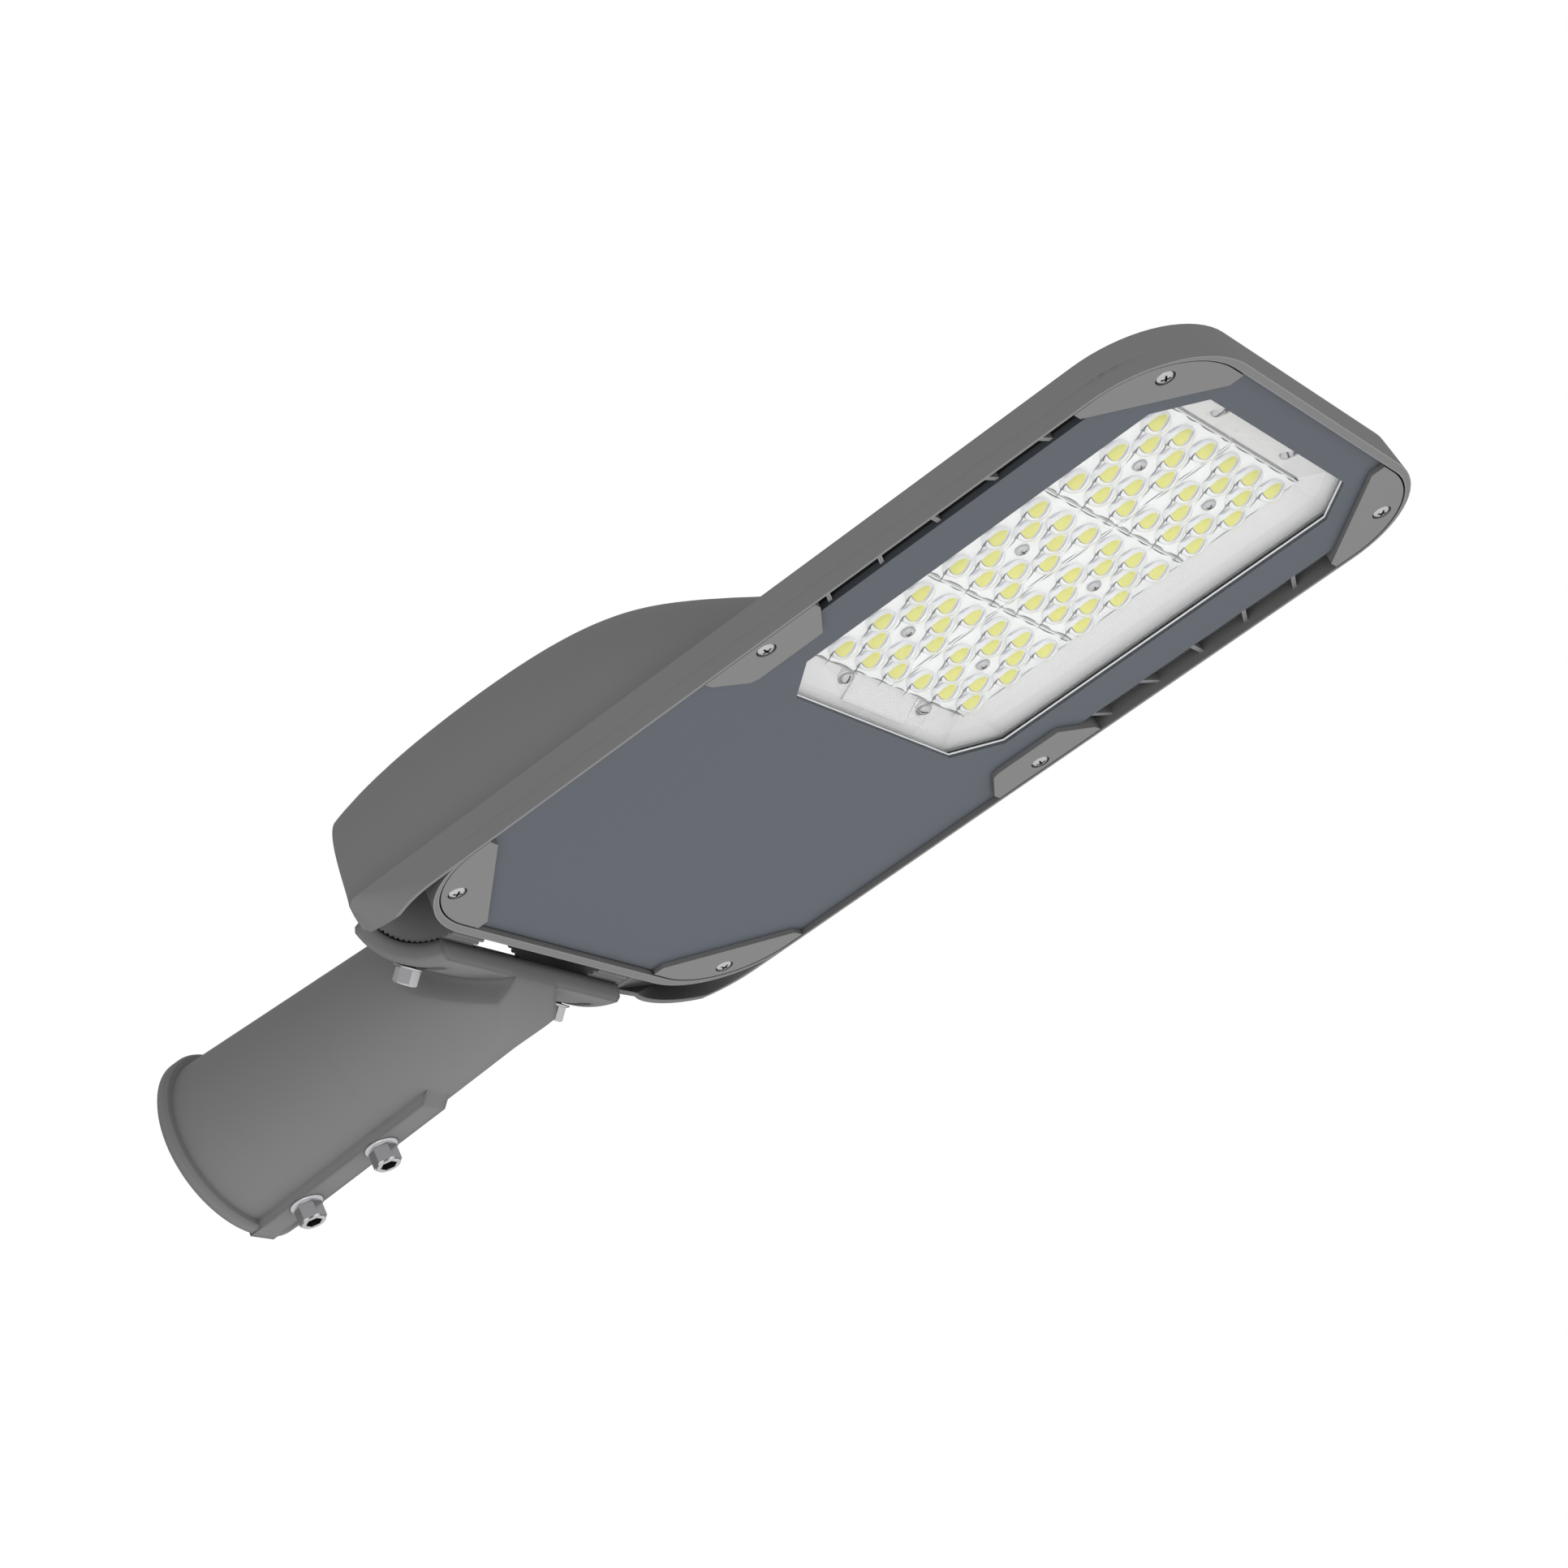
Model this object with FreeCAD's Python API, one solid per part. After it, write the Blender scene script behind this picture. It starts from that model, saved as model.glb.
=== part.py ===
import FreeCAD, Part
import math
import os

from FreeCAD import Vector as V

# Frame: the origin is the centre of the pole socket's mouth. +X runs along the head to
# its tip, +Z is up and the light leaves downwards. Millimetres.

# Pole socket and neck
POLE_BORE_D = 61.0
SOCKET_DEPTH = 76.0
CORE_D = 50.0
CORE_END_X = 104.0
COLLAR_D = 77.5
COLLAR_LEN = 5.5
TUBE_MOUTH_D = 71.2
TUBE_NECK_D = 61.0
NECK_X = 124.0
NECK_PLAN = ((104.0, 33.0), (129.0, 25.5), (151.0, 11.0))
EDGE_CHAMFER = 1.0
CABLE_WAY_D = 24.0
CABLE_WAY_Z = 7.0

# Clamp pad under the socket, with the two bolts that grip the pole
CLAMP_PAD_W = 13.2
CLAMP_PAD_LEN = 91.0
CLAMP_PAD_MOUTH_Z = -38.8
CLAMP_PAD_END_Z = -35.0
CLAMP_PAD_NOSE = 6.0
CLAMP_BOLT_X = 24.0
CLAMP_BOLT_PITCH = 39.5

# Tilt knuckle: a saddle on the neck turns round two toothed arms of the head
TILT_X = 161.5
TILT_Z = 26.6
ARM_R = 37.2
SADDLE_GAP = 0.3
SADDLE_T = 7.6
SADDLE_OVER = 0.8
SADDLE_FRONT_DEG = 14.5
SADDLE_BACK_DEG = 74.0
ARM_W = 18.0
ARM_Y = 44.0
SADDLE_HALF_W = ARM_Y + ARM_W / 2 + SADDLE_OVER
SADDLE_CHAMFER = 2.4
TOOTH_DEG = 4.0
TOOTH_H = 1.0
TOOTH_RIM = 1.6
ARM_LAST_DEG = 96.0
ARM_BACK_X = 132.0
ARM_TOP_Z = 46.0
TILT_RANGE_DEG = 15.0
TILT_BOLT_DEG = 44.5
SLOT_SPARE_DEG = 1.8

# Flanged hexagon bolts
TILT_BOLT_D = 5.0
CLAMP_BOLT_D = 6.0
BOLT_HEX_PER_D = 1.6
BOLT_FLANGE_PER_D = 2.3
BOLT_FLANGE_T = 1.2
BOLT_HEAD_PER_D = 1.35
BOLT_SOCKET_PER_D = 0.95
BOLT_PLAY = 0.3
SEAT_GAP = 0.3

# Head outline
HEAD_TIP_X = 504.5
HEAD_HALF_W = 99.4
TIP_CORNER_R = 40.0
REAR_MID_X = 118.6
REAR_R = 185.0
REAR_CORNER_R = 9.0
REAR_FOOT_X = 136.0
REAR_FOOT_R = 48.0
REAR_LEAN = 3.2
DOME_TOP_Z = 76.0
BAND_BOTTOM_Z = -15.3
BAND_TOP_Z = -0.5
BAND_DRAFT = 2.0
CROWN_INSET = 16.0
CROWN_TOP_Z = 5.2
CEILING_Z = 1.2
TIP_LIP = 3.3
SIDE_LIP = 1.1
POCKET_CORNER_R = 36.0
RECESS_LIP = 1.3
RECESS_ROOF = ((8.2, 32.0), (-5.8, 44.0), (-23.8, 51.0))
RECESS_TOP_Z = 53.0
RECESS_WALL = 2.8
END_WALL_X = 163.2
END_WALL_T = 3.8

# Driver dome: where each section stands along X, how far in from the head's side its foot
# is, and its height
DOME_SECTIONS = (
    (354.0, 47.4, 6.5),
    (334.0, 32.4, 23.0),
    (308.0, 16.4, 40.6),
    (272.0, 4.9, 61.7),
    (226.0, 2.8, 72.7),
    (164.0, 4.4, 73.3),
    (112.0, 11.4, 59.0),
)

# Half of one dome section: shares of its half width and of its height
DOME_CURVE = ((1.0, 0.0), (0.965, 0.055), (0.93, 0.2), (0.84, 0.48), (0.65, 0.76), (0.36, 0.94), (0.0, 1.0))

# Hollow in the dome, in three steps: where each ends, and its outline across as distances
# in from the head's side and heights
DOME_HOLLOW = (
    (262.0, ((15.4, 9.0), (23.4, 28.0), (41.4, 45.0), (67.4, 57.0))),
    (300.0, ((25.4, 6.0), (33.4, 15.0), (51.4, 27.0), (73.4, 34.0))),
    (330.0, ((42.4, 3.0), (53.4, 9.0), (65.4, 13.0), (81.4, 16.0))),
)

# Arch in the rear wall that clears the neck at every tilt. Its feet are measured in from
# the head's side and its crown out from the saddle's end.
ARCH_FOOT = (
    (4.8, -15.8), (7.2, -14.0), (10.8, -11.3), (15.5, -8.0), (18.8, -6.0), (23.4, -2.2), (27.8, 3.1),
)
ARCH_CROWN = ((9.7, 14.0), (3.2, 29.0), (-13.8, 45.0))
ARCH_TOP_Z = 50.5

# Cover and what seals it
COVER_FACE_Z = -13.1
COVER_T = 2.5
GASKET_T = 2.0
GASKET_W = 4.6
COVER_GAP = 0.7
NOTCH_IN = 13.2
SLOT_IN = 10.7
VENT_RIB_T = 1.6
VENT_RIB_X = 400.0
VENT_RIB_PITCH = 21.7
VENT_RIB_FAN_DEG = 23.0
VENT_RIB_BOTTOM_Z = -12.2
VENT_RIB_COUNT = 5
RIB_COVER = 0.4
SLOT_NEAR_ROOM = 7.1
SLOT_TIP_ROOM = 16.6
CHANNEL_WALL_T = 4.6

# Clamp pads that hold the cover. A corner pad's points are distances from the end wall or
# the tip, and in from the head's side. A middle pad's are back from the start of the vent.
PAD_FACE_Z = -15.1
PAD_GAP = 0.7
PAD_OVERLAP = 6.0
PAD_NEAR = ((8.9, 45.3), (46.0, 6.7))
PAD_TIP = ((46.2, 6.0), (9.3, 44.5))
PAD_MID_BASE = (43.8, -3.5)
PAD_MID_SHOULDER_IN = 5.6
PAD_MID_TOP = (35.0, 4.5)
PAD_MID_IN = 19.5
PAD_SCREW_NEAR = (18.4, 17.0)
PAD_SCREW_MID = (21.3, 7.3)
PAD_SCREW_TIP = (19.1, 16.8)
PAD_SCREW_D = 4.0
PAD_SCREW_HEAD_D = 6.8
PAD_SCREW_HEAD_H = 2.0
PAD_SCREW_SINK = 1.5
PAD_SCREW_LEN = 12.0

# Window
WINDOW_NEAR_X = 313.0
WINDOW_TIP_X = 486.5
WINDOW_HALF_W = 66.8
WINDOW_CHAMFER = 15.6
WINDOW_LIP_T = 1.2
WINDOW_LIP_W = 5.0
WINDOW_GASKET_T = 0.6
GLASS_T = 3.0

# Light engine
ENGINE_X = 398.8
MODULE_X = 49.4
MODULE_Y = 51.0
MODULES_ALONG = 3
MODULES_ACROSS = 2
MODULE_GAP = 0.4
BOARD_T = 1.6
BOARD_MARGIN = 1.0
CHIP = 3.6
CHIP_T = 0.9
LENS_PLATE_T = 1.6
LENS_SKIRT_T = 1.5
LENS_FLANKS = 6
LENS_DOME_H = 3.9
LENS_LONG = 13.0
LENS_WIDE = 10.6
CHIP_PITCH_X = 16.65
CHIP_PITCH_Y = 17.2
CHIP_CELLS = (
    (-1.0, -1.0), (-1.0, 0.0), (-1.0, 1.0), (-0.5, -0.5), (-0.5, 0.5), (0.0, -1.0),
    (0.0, 1.0), (0.5, -0.5), (0.5, 0.5), (1.0, -1.0), (1.0, 0.0), (1.0, 1.0),
)
MODULE_SCREW_D = 3.0
MODULE_SCREW_HEAD_D = 5.4
MODULE_SCREW_HEAD_H = 1.8

# Reflector tray
TRAY_T = 1.2
TRAY_FLOOR_GAP = 0.6
TRAY_SCREW_X = (322.0, 480.4)
TRAY_SCREW_Y = 26.0
TRAY_FLOOR_DROP = 0.2
TRAY_BOSS_D = 8.0
TRAY_BOSS_PROUD = 0.6
TRAY_SCREW_D = 3.0
TRAY_SCREW_HEAD_D = 5.8
TRAY_SCREW_HEAD_H = 1.9
RAMP_HALF_W = 20.0
RAMP_NEAR_X = 315.4
RAMP_T = 1.0

# Cooling fins on top
FIN_COUNT = 15
FIN_PITCH = 8.7
FIN_T = 2.2
FIN_TOP_Z = 14.5
FIN_TIP_X = 482.0
FIN_SLOPE = 16.0
FIN_ROOT_X = 300.0

# Gear in the dome
GEAR_TRAY_Z = -5.5
GEAR_TRAY_T = 1.5
GEAR_TRAY_FAR_X = 300.0
GEAR_TRAY_CORNER_R = 5.0
GEAR_EDGE = 13.5
GEAR_GAP = 3.0
POST_D = 9.0
POST_TOP_Z = (52.0, 30.0)
POST_INSET = 8.0
GEAR_SCREW_D = 3.6
GEAR_SCREW_HEAD_D = 7.0
GEAR_SCREW_HEAD_H = 2.2
GEAR_SCREW_LEN = 9.0
DRIVER_SIZE = (104.0, 60.0, 28.0)
DRIVER_FROM_NEAR = 6.0
DRIVER_EDGE_R = 4.0
SURGE_SIZE = (48.0, 30.0, 22.0)
SURGE_FROM_TERMINAL = 26.0
TERMINAL_SIZE = (22.0, 34.0, 16.0)
TERMINAL_FROM_NEAR = 10.0
TERMINAL_POLES = 3
GLAND_Y = -13.0
GLAND_Z = 20.0
GLAND_D = 16.0
GLAND_HEX_AF = 18.0
GLAND_LEN = 13.0
GLAND_BORE = 8.0
VENT_Y = 15.0
VENT_D = 12.0

Z_AXIS = V(0, 0, 1)
Y_AXIS = V(0, 1, 0)
COVER_TOP_Z = COVER_FACE_Z + COVER_T
LEDGE_Z = COVER_TOP_Z + GASKET_T
BOARD_Z = CEILING_Z - BOARD_T
CHIP_Z = BOARD_Z - CHIP_T
PLATE_TOP_Z = CHIP_Z - 0.1
PLATE_BOTTOM_Z = PLATE_TOP_Z - LENS_PLATE_T
GLASS_BOTTOM_Z = COVER_FACE_Z + WINDOW_LIP_T + WINDOW_GASKET_T
GLASS_TOP_Z = GLASS_BOTTOM_Z + GLASS_T
SADDLE_R = ARM_R + SADDLE_GAP
SADDLE_OUT_R = SADDLE_R + SADDLE_T
POCKET_HALF_W = HEAD_HALF_W - SIDE_LIP
POCKET_TIP_X = HEAD_TIP_X - TIP_LIP
POCKET_NEAR_X = END_WALL_X + END_WALL_T
COVER_HALF_W = POCKET_HALF_W - COVER_GAP
NOTCH_HALF_W = HEAD_HALF_W - NOTCH_IN
VENT_RIB_REACH = VENT_RIB_PITCH * (VENT_RIB_COUNT - 1) / 2
SLOT_START_X = VENT_RIB_X - VENT_RIB_REACH - SLOT_NEAR_ROOM
SLOT_END_X = VENT_RIB_X + VENT_RIB_REACH + SLOT_TIP_ROOM
SLOT_INNER_Y = HEAD_HALF_W - SLOT_IN
CHAMBER_IN = GASKET_W + 0.6
GEAR_TRAY_HALF_W = (GEAR_EDGE * 2 + DRIVER_SIZE[1] + GEAR_GAP + TERMINAL_SIZE[1]) / 2


def save(name, shape):
    """Write one piece, whole or as a group of separate solids."""
    if not shape.isValid():
        print("not valid:", name)
    shape.exportStep("parts/" + name + ".step")


def joined(shapes):
    """Fuse pieces of one casting and drop the seams between their faces."""
    first = shapes[0]
    if len(shapes) > 1:
        first = first.fuse(shapes[1:])
    return first.removeSplitter()


def box(x0, x1, y0, y1, z0, z1):
    return Part.makeBox(x1 - x0, y1 - y0, z1 - z0, V(x0, y0, z0))


def along_prism(points, x0, x1):
    """An outline in Y and Z carried from x0 to x1."""
    corners = [V(x0, y, z) for y, z in points]
    return Part.Face(Part.makePolygon(corners + corners[:1])).extrude(V(x1 - x0, 0, 0))


def prism(points, z0, z1):
    """A plan outline carried from z0 to z1."""
    wire = Part.makePolygon([V(x, y, z0) for x, y in points] + [V(points[0][0], points[0][1], z0)])
    return Part.Face(wire).extrude(V(0, 0, z1 - z0))


def side_prism(points, half_w, mid_y=0.0):
    """An outline in X and Z carried across Y."""
    start = mid_y - half_w
    corners = [V(x, start, z) for x, z in points]
    return Part.Face(Part.makePolygon(corners + corners[:1])).extrude(V(0, 2 * half_w, 0))


def mirrored(points):
    """A half outline with y above zero, closed by its own mirror image."""
    back = [(x, -y) for x, y in reversed(points) if abs(y) > 1e-6]
    return list(points) + back


def frustum(low, high):
    """A solid with flat flanks between two rings of points."""
    faces = [Part.Face(Part.makePolygon(ring + ring[:1])) for ring in (low, high)]
    for k in range(len(low)):
        after = (k + 1) % len(low)
        quad = [low[k], low[after], high[after], high[k]]
        faces.append(Part.Face(Part.makePolygon(quad + quad[:1])))
    shell = Part.makeShell(faces)
    shell.sewShape()
    solid = Part.makeSolid(shell)
    if solid.Volume < 0:
        solid.reverse()
    return solid


def hexagon(af, direction, base, height):
    """A hexagon prism that stands on base and points along direction."""
    reach = af / math.sqrt(3)
    corners = [V(reach * math.cos(math.radians(60 * k)), reach * math.sin(math.radians(60 * k)), 0) for k in range(6)]
    shape = Part.Face(Part.makePolygon(corners + corners[:1])).extrude(V(0, 0, height))
    shape.Placement = FreeCAD.Placement(base, FreeCAD.Rotation(Z_AXIS, direction))
    return shape


def flange_bolt(seat, direction, bolt_d, shank_len):
    """A flanged bolt whose head points along direction and whose shank goes back from the seat."""
    flange_r = bolt_d * BOLT_FLANGE_PER_D / 2
    head_h = bolt_d * BOLT_HEAD_PER_D
    flange = Part.makeCylinder(flange_r, BOLT_FLANGE_T, seat, direction)
    head = hexagon(bolt_d * BOLT_HEX_PER_D, direction, seat, head_h)
    shank = Part.makeCylinder(bolt_d / 2, shank_len, seat, direction * -1)
    bolt = joined([flange, head, shank])
    socket_at = seat + direction * (head_h / 2)
    return bolt.cut(hexagon(bolt_d * BOLT_SOCKET_PER_D, direction, socket_at, head_h))


def pan_screw(x, y, z, shank_d, head_d, head_h, length):
    """A plain screw driven upwards, its head below z."""
    head = Part.makeCylinder(head_d / 2, head_h, V(x, y, z - head_h))
    return joined([head, Part.makeCylinder(shank_d / 2, length, V(x, y, z))])


def knuckle_point(radius, deg):
    """A point round the tilt axis, at deg from straight down towards the pole."""
    turn = math.radians(deg)
    return (TILT_X - radius * math.sin(turn), TILT_Z - radius * math.cos(turn))


def arc_points(radius, start, end, steps):
    return [knuckle_point(radius, start + (end - start) * k / steps) for k in range(steps + 1)]


def toothed(radius, depth, start, end):
    """Tooth tips at radius and roots depth away, one tooth to each TOOTH_DEG."""
    points = []
    count = int(round((end - start) / TOOTH_DEG))
    land = TOOTH_DEG * 0.15
    for k in range(count):
        at = start + k * TOOTH_DEG
        points.append(knuckle_point(radius, at - land))
        points.append(knuckle_point(radius, at + land))
        points.append(knuckle_point(radius + depth, at + TOOTH_DEG / 2))
    points.append(knuckle_point(radius, start + count * TOOTH_DEG))
    return points


def radial(deg):
    turn = math.radians(deg)
    return V(-math.sin(turn), 0, -math.cos(turn))


def sector(r0, r1, start, end, half_w, mid_y=0.0):
    """A curved plate round the tilt axis with true cylinder faces."""
    def edge(radius, a, b):
        pts = [knuckle_point(radius, d) for d in (a, (a + b) / 2, b)]
        return Part.Arc(*[V(x, mid_y - half_w, z) for x, z in pts]).toShape()

    def line(a, b, deg):
        p = knuckle_point(a, deg)
        q = knuckle_point(b, deg)
        return Part.makeLine(V(p[0], mid_y - half_w, p[1]), V(q[0], mid_y - half_w, q[1]))

    wire = Part.Wire([edge(r0, start, end), line(r0, r1, end), edge(r1, end, start), line(r1, r0, start)])
    return Part.Face(wire).extrude(V(0, 2 * half_w, 0))


def clamp_pad_slope():
    return math.atan2(CLAMP_PAD_END_Z - CLAMP_PAD_MOUTH_Z, CLAMP_PAD_LEN)


def clamp_bolt_seats():
    """Where each pole bolt sits on the sloping clamp pad."""
    slope = clamp_pad_slope()
    seats = []
    for k in range(2):
        x = CLAMP_BOLT_X + k * CLAMP_BOLT_PITCH
        seats.append(V(x, 0, CLAMP_PAD_MOUTH_Z + x * math.tan(slope)))
    return seats, V(math.sin(slope), 0, -math.cos(slope))


def make_spigot():
    """The pole socket, its neck and the saddle, one casting."""
    along = V(1, 0, 0)
    collar = Part.makeCylinder(COLLAR_D / 2, COLLAR_LEN, V(0, 0, 0), along)
    rims = [edge for edge in collar.Edges if edge.Curve.TypeId == "Part::GeomCircle"]
    collar = collar.makeChamfer(EDGE_CHAMFER, rims)
    mouth_r = TUBE_MOUTH_D / 2
    neck_r = TUBE_NECK_D / 2
    reach = TILT_X - NECK_X
    tube = Part.makeCone(mouth_r, neck_r, NECK_X, V(0, 0, 0), along)
    tube = tube.fuse(Part.makeCylinder(neck_r, reach, V(NECK_X, 0, 0), along))
    # Side view that trims the neck: flat top, then round the saddle, then up the nose.
    front_low = knuckle_point(SADDLE_OUT_R, SADDLE_FRONT_DEG)
    mid_r = SADDLE_OUT_R - SADDLE_T / 2
    rise = front_low[1] + neck_r
    run = front_low[0] - NECK_X
    nose_r = (run * run + rise * rise) / (2 * rise)
    half_turn = math.atan2(rise, run)
    nose_mid = (NECK_X + nose_r * math.sin(half_turn), -neck_r + nose_r * (1 - math.cos(half_turn)))
    side_y = -mouth_r - 10
    top_z = mouth_r + 10
    low_z = -mouth_r - 10
    back_top = knuckle_point(SADDLE_OUT_R, 90.0)
    arc_pts = [knuckle_point(SADDLE_OUT_R, d) for d in (90.0, 82.0, SADDLE_BACK_DEG)]
    seat_pts = [knuckle_point(mid_r, d) for d in (SADDLE_BACK_DEG, 45.0, SADDLE_FRONT_DEG)]

    def at(p):
        return V(p[0], side_y, p[1])

    outline = Part.Wire([
        Part.makeLine(at((-1, low_z)), at((-1, top_z))),
        Part.makeLine(at((-1, top_z)), at((back_top[0], top_z))),
        Part.makeLine(at((back_top[0], top_z)), at(back_top)),
        Part.Arc(*[at(p) for p in arc_pts]).toShape(),
        Part.makeLine(at(arc_pts[-1]), at(seat_pts[0])),
        Part.Arc(*[at(p) for p in seat_pts]).toShape(),
        Part.makeLine(at(seat_pts[-1]), at(front_low)),
        Part.Arc(at(front_low), at(nose_mid), at((NECK_X, -neck_r))).toShape(),
        Part.makeLine(at((NECK_X, -neck_r)), at((NECK_X, low_z))),
        Part.makeLine(at((NECK_X, low_z)), at((-1, low_z))),
    ])
    neck = tube.common(Part.Face(outline).extrude(V(0, -2 * side_y, 0)))
    neck = neck.common(neck_plan())
    saddle = sector(SADDLE_R, SADDLE_OUT_R, SADDLE_FRONT_DEG, SADDLE_BACK_DEG, SADDLE_HALF_W)
    ends = []
    arc_len = math.radians(SADDLE_BACK_DEG - SADDLE_FRONT_DEG) * SADDLE_OUT_R
    for edge in saddle.Edges:
        at_end = abs(abs(edge.CenterOfMass.y) - SADDLE_HALF_W) < 0.01
        if at_end and abs(edge.Length - arc_len) < 0.01:
            ends.append(edge)
    saddle = saddle.makeChamfer(SADDLE_CHAMFER, ends)
    # Grooves that the arms' teeth face, on both ends of the saddle.
    first = SADDLE_FRONT_DEG + TOOTH_DEG / 2
    teeth = int((SADDLE_BACK_DEG - SADDLE_FRONT_DEG) / TOOTH_DEG)
    groove_half = ARM_W / 2 + SADDLE_GAP
    inward = SADDLE_HALF_W - TOOTH_RIM - groove_half
    grooves = []
    for k in range(teeth):
        mid = first + k * TOOTH_DEG
        low = knuckle_point(SADDLE_R - SADDLE_GAP, mid - TOOTH_DEG * 0.45)
        high = knuckle_point(SADDLE_R - SADDLE_GAP, mid + TOOTH_DEG * 0.45)
        root = knuckle_point(SADDLE_R + TOOTH_H, mid)
        for side in (-1, 1):
            grooves.append(side_prism([low, high, root], groove_half, side * inward))
    saddle = saddle.cut(grooves)
    pad = side_prism([
        (0, 0), (0, CLAMP_PAD_MOUTH_Z), (CLAMP_PAD_LEN, CLAMP_PAD_END_Z),
        (CLAMP_PAD_LEN + CLAMP_PAD_NOSE, CLAMP_PAD_END_Z + CLAMP_PAD_NOSE), (CLAMP_PAD_LEN + CLAMP_PAD_NOSE, 0),
    ], CLAMP_PAD_W / 2)
    body = joined([neck, collar, saddle, pad])
    core = [
        Part.makeCylinder(POLE_BORE_D / 2, SOCKET_DEPTH + 1, V(-1, 0, 0), along),
        Part.makeCylinder(CORE_D / 2, CORE_END_X - SOCKET_DEPTH, V(SOCKET_DEPTH, 0, 0), along),
        Part.makeCylinder(CABLE_WAY_D / 2, reach + NECK_X - CORE_END_X, V(CORE_END_X, 0, CABLE_WAY_Z), along),
    ]
    seats, out = clamp_bolt_seats()
    for seat in seats:
        core.append(Part.makeCylinder(CLAMP_BOLT_D / 2 + BOLT_PLAY, TUBE_MOUTH_D / 2, seat + out, out * -1))
    # The arc slots that the tilt bolts travel in.
    slot_low = TILT_BOLT_DEG - TILT_RANGE_DEG - SLOT_SPARE_DEG
    slot_high = TILT_BOLT_DEG + SLOT_SPARE_DEG
    slot_r = TILT_BOLT_D / 2 + BOLT_PLAY
    for side in (-1, 1):
        mid_y = side * ARM_Y
        core.append(sector(SADDLE_R - 2, SADDLE_OUT_R + 2, slot_low, slot_high, slot_r, mid_y))
        for deg in (slot_low, slot_high):
            foot = knuckle_point(SADDLE_R - 2, deg)
            core.append(Part.makeCylinder(slot_r, SADDLE_T + 4, V(foot[0], mid_y, foot[1]), radial(deg)))
    return body.cut(core)


def neck_plan():
    """How the neck narrows from the tube to the saddle, seen from above."""
    (x0, y0), (x1, y1), (x2, y2) = NECK_PLAN
    low = -TUBE_MOUTH_D
    left = Part.Arc(V(x0, y0, low), V(x1, y1, low), V(x2, y2, low)).toShape()
    right = Part.Arc(V(x2, -y2, low), V(x1, -y1, low), V(x0, -y0, low)).toShape()
    wide = TUBE_MOUTH_D
    wire = Part.Wire([
        Part.makeLine(V(-2, -wide, low), V(-2, wide, low)),
        Part.makeLine(V(-2, wide, low), V(x0, wide, low)),
        Part.makeLine(V(x0, wide, low), V(x0, y0, low)),
        left,
        Part.makeLine(V(x2, y2, low), V(x2, -y2, low)),
        right,
        Part.makeLine(V(x0, -y0, low), V(x0, -wide, low)),
        Part.makeLine(V(x0, -wide, low), V(-2, -wide, low)),
    ])
    return Part.Face(wire).extrude(V(0, 0, 2 * wide))


def make_clamp_bolts():
    seats, out = clamp_bolt_seats()
    bolts = []
    for seat in seats:
        length = -seat.z - POLE_BORE_D / 2 - SEAT_GAP
        bolts.append(flange_bolt(seat, out, CLAMP_BOLT_D, length))
    return Part.makeCompound(bolts)


def make_tilt_bolts():
    """The two bolts that lock the saddle to the arms."""
    bolts = []
    out = radial(TILT_BOLT_DEG)
    foot = knuckle_point(SADDLE_OUT_R + SEAT_GAP, TILT_BOLT_DEG)
    for side in (-1, 1):
        bolts.append(flange_bolt(V(foot[0], side * ARM_Y, foot[1]), out, TILT_BOLT_D, SADDLE_T + 14.0))
    return Part.makeCompound(bolts)


def head_wire(inset, z, foot=False):
    """The plan outline of the head: a curved rear, rounder at its foot, and rounded tip corners."""
    half = HEAD_HALF_W - inset
    tip = HEAD_TIP_X - inset
    corner = TIP_CORNER_R - inset
    cut = corner * (1 - math.cos(math.radians(45)))
    if foot:
        radius = REAR_FOOT_R - inset
        start = V(REAR_FOOT_X + inset, half - radius, z)
        end = V(REAR_FOOT_X + inset + radius, half, z)
        part = radius * (1 - math.cos(math.radians(45)))
        mid = V(start.x + part, half - part, z)
        rear_mid = V(REAR_FOOT_X + inset - 1.0, 0, z)
    else:
        radius = REAR_CORNER_R
        big = REAR_R - inset
        centre_x = REAR_MID_X + REAR_R
        # The small corner circle touches both the side line and the big rear arc.
        small_y = half - radius
        small_x = centre_x - math.sqrt((big - radius) ** 2 - small_y ** 2)
        ux = (small_x - centre_x) / (big - radius)
        uy = small_y / (big - radius)
        start = V(small_x + radius * ux, small_y + radius * uy, z)
        end = V(small_x, half, z)
        turn = (math.atan2(uy, ux) + math.pi / 2) / 2
        mid = V(small_x + radius * math.cos(turn), small_y + radius * math.sin(turn), z)
        rear_mid = V(REAR_MID_X + inset, 0, z)

    def flip(p):
        return V(p.x, -p.y, p.z)

    side_end = V(tip - corner, half, z)
    corner_mid = V(tip - cut, half - cut, z)
    tip_start = V(tip, half - corner, z)
    return Part.Wire([
        Part.Arc(flip(start), rear_mid, start).toShape(),
        Part.Arc(start, mid, end).toShape(),
        Part.makeLine(end, side_end),
        Part.Arc(side_end, corner_mid, tip_start).toShape(),
        Part.makeLine(tip_start, flip(tip_start)),
        Part.Arc(flip(tip_start), flip(corner_mid), flip(side_end)).toShape(),
        Part.makeLine(flip(side_end), flip(end)),
        Part.Arc(flip(end), flip(mid), flip(start)).toShape(),
    ])


def between(low, high):
    """A solid with straight flanks from one plan outline to another."""
    return Part.makeLoft([low, high], True, True)


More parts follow.
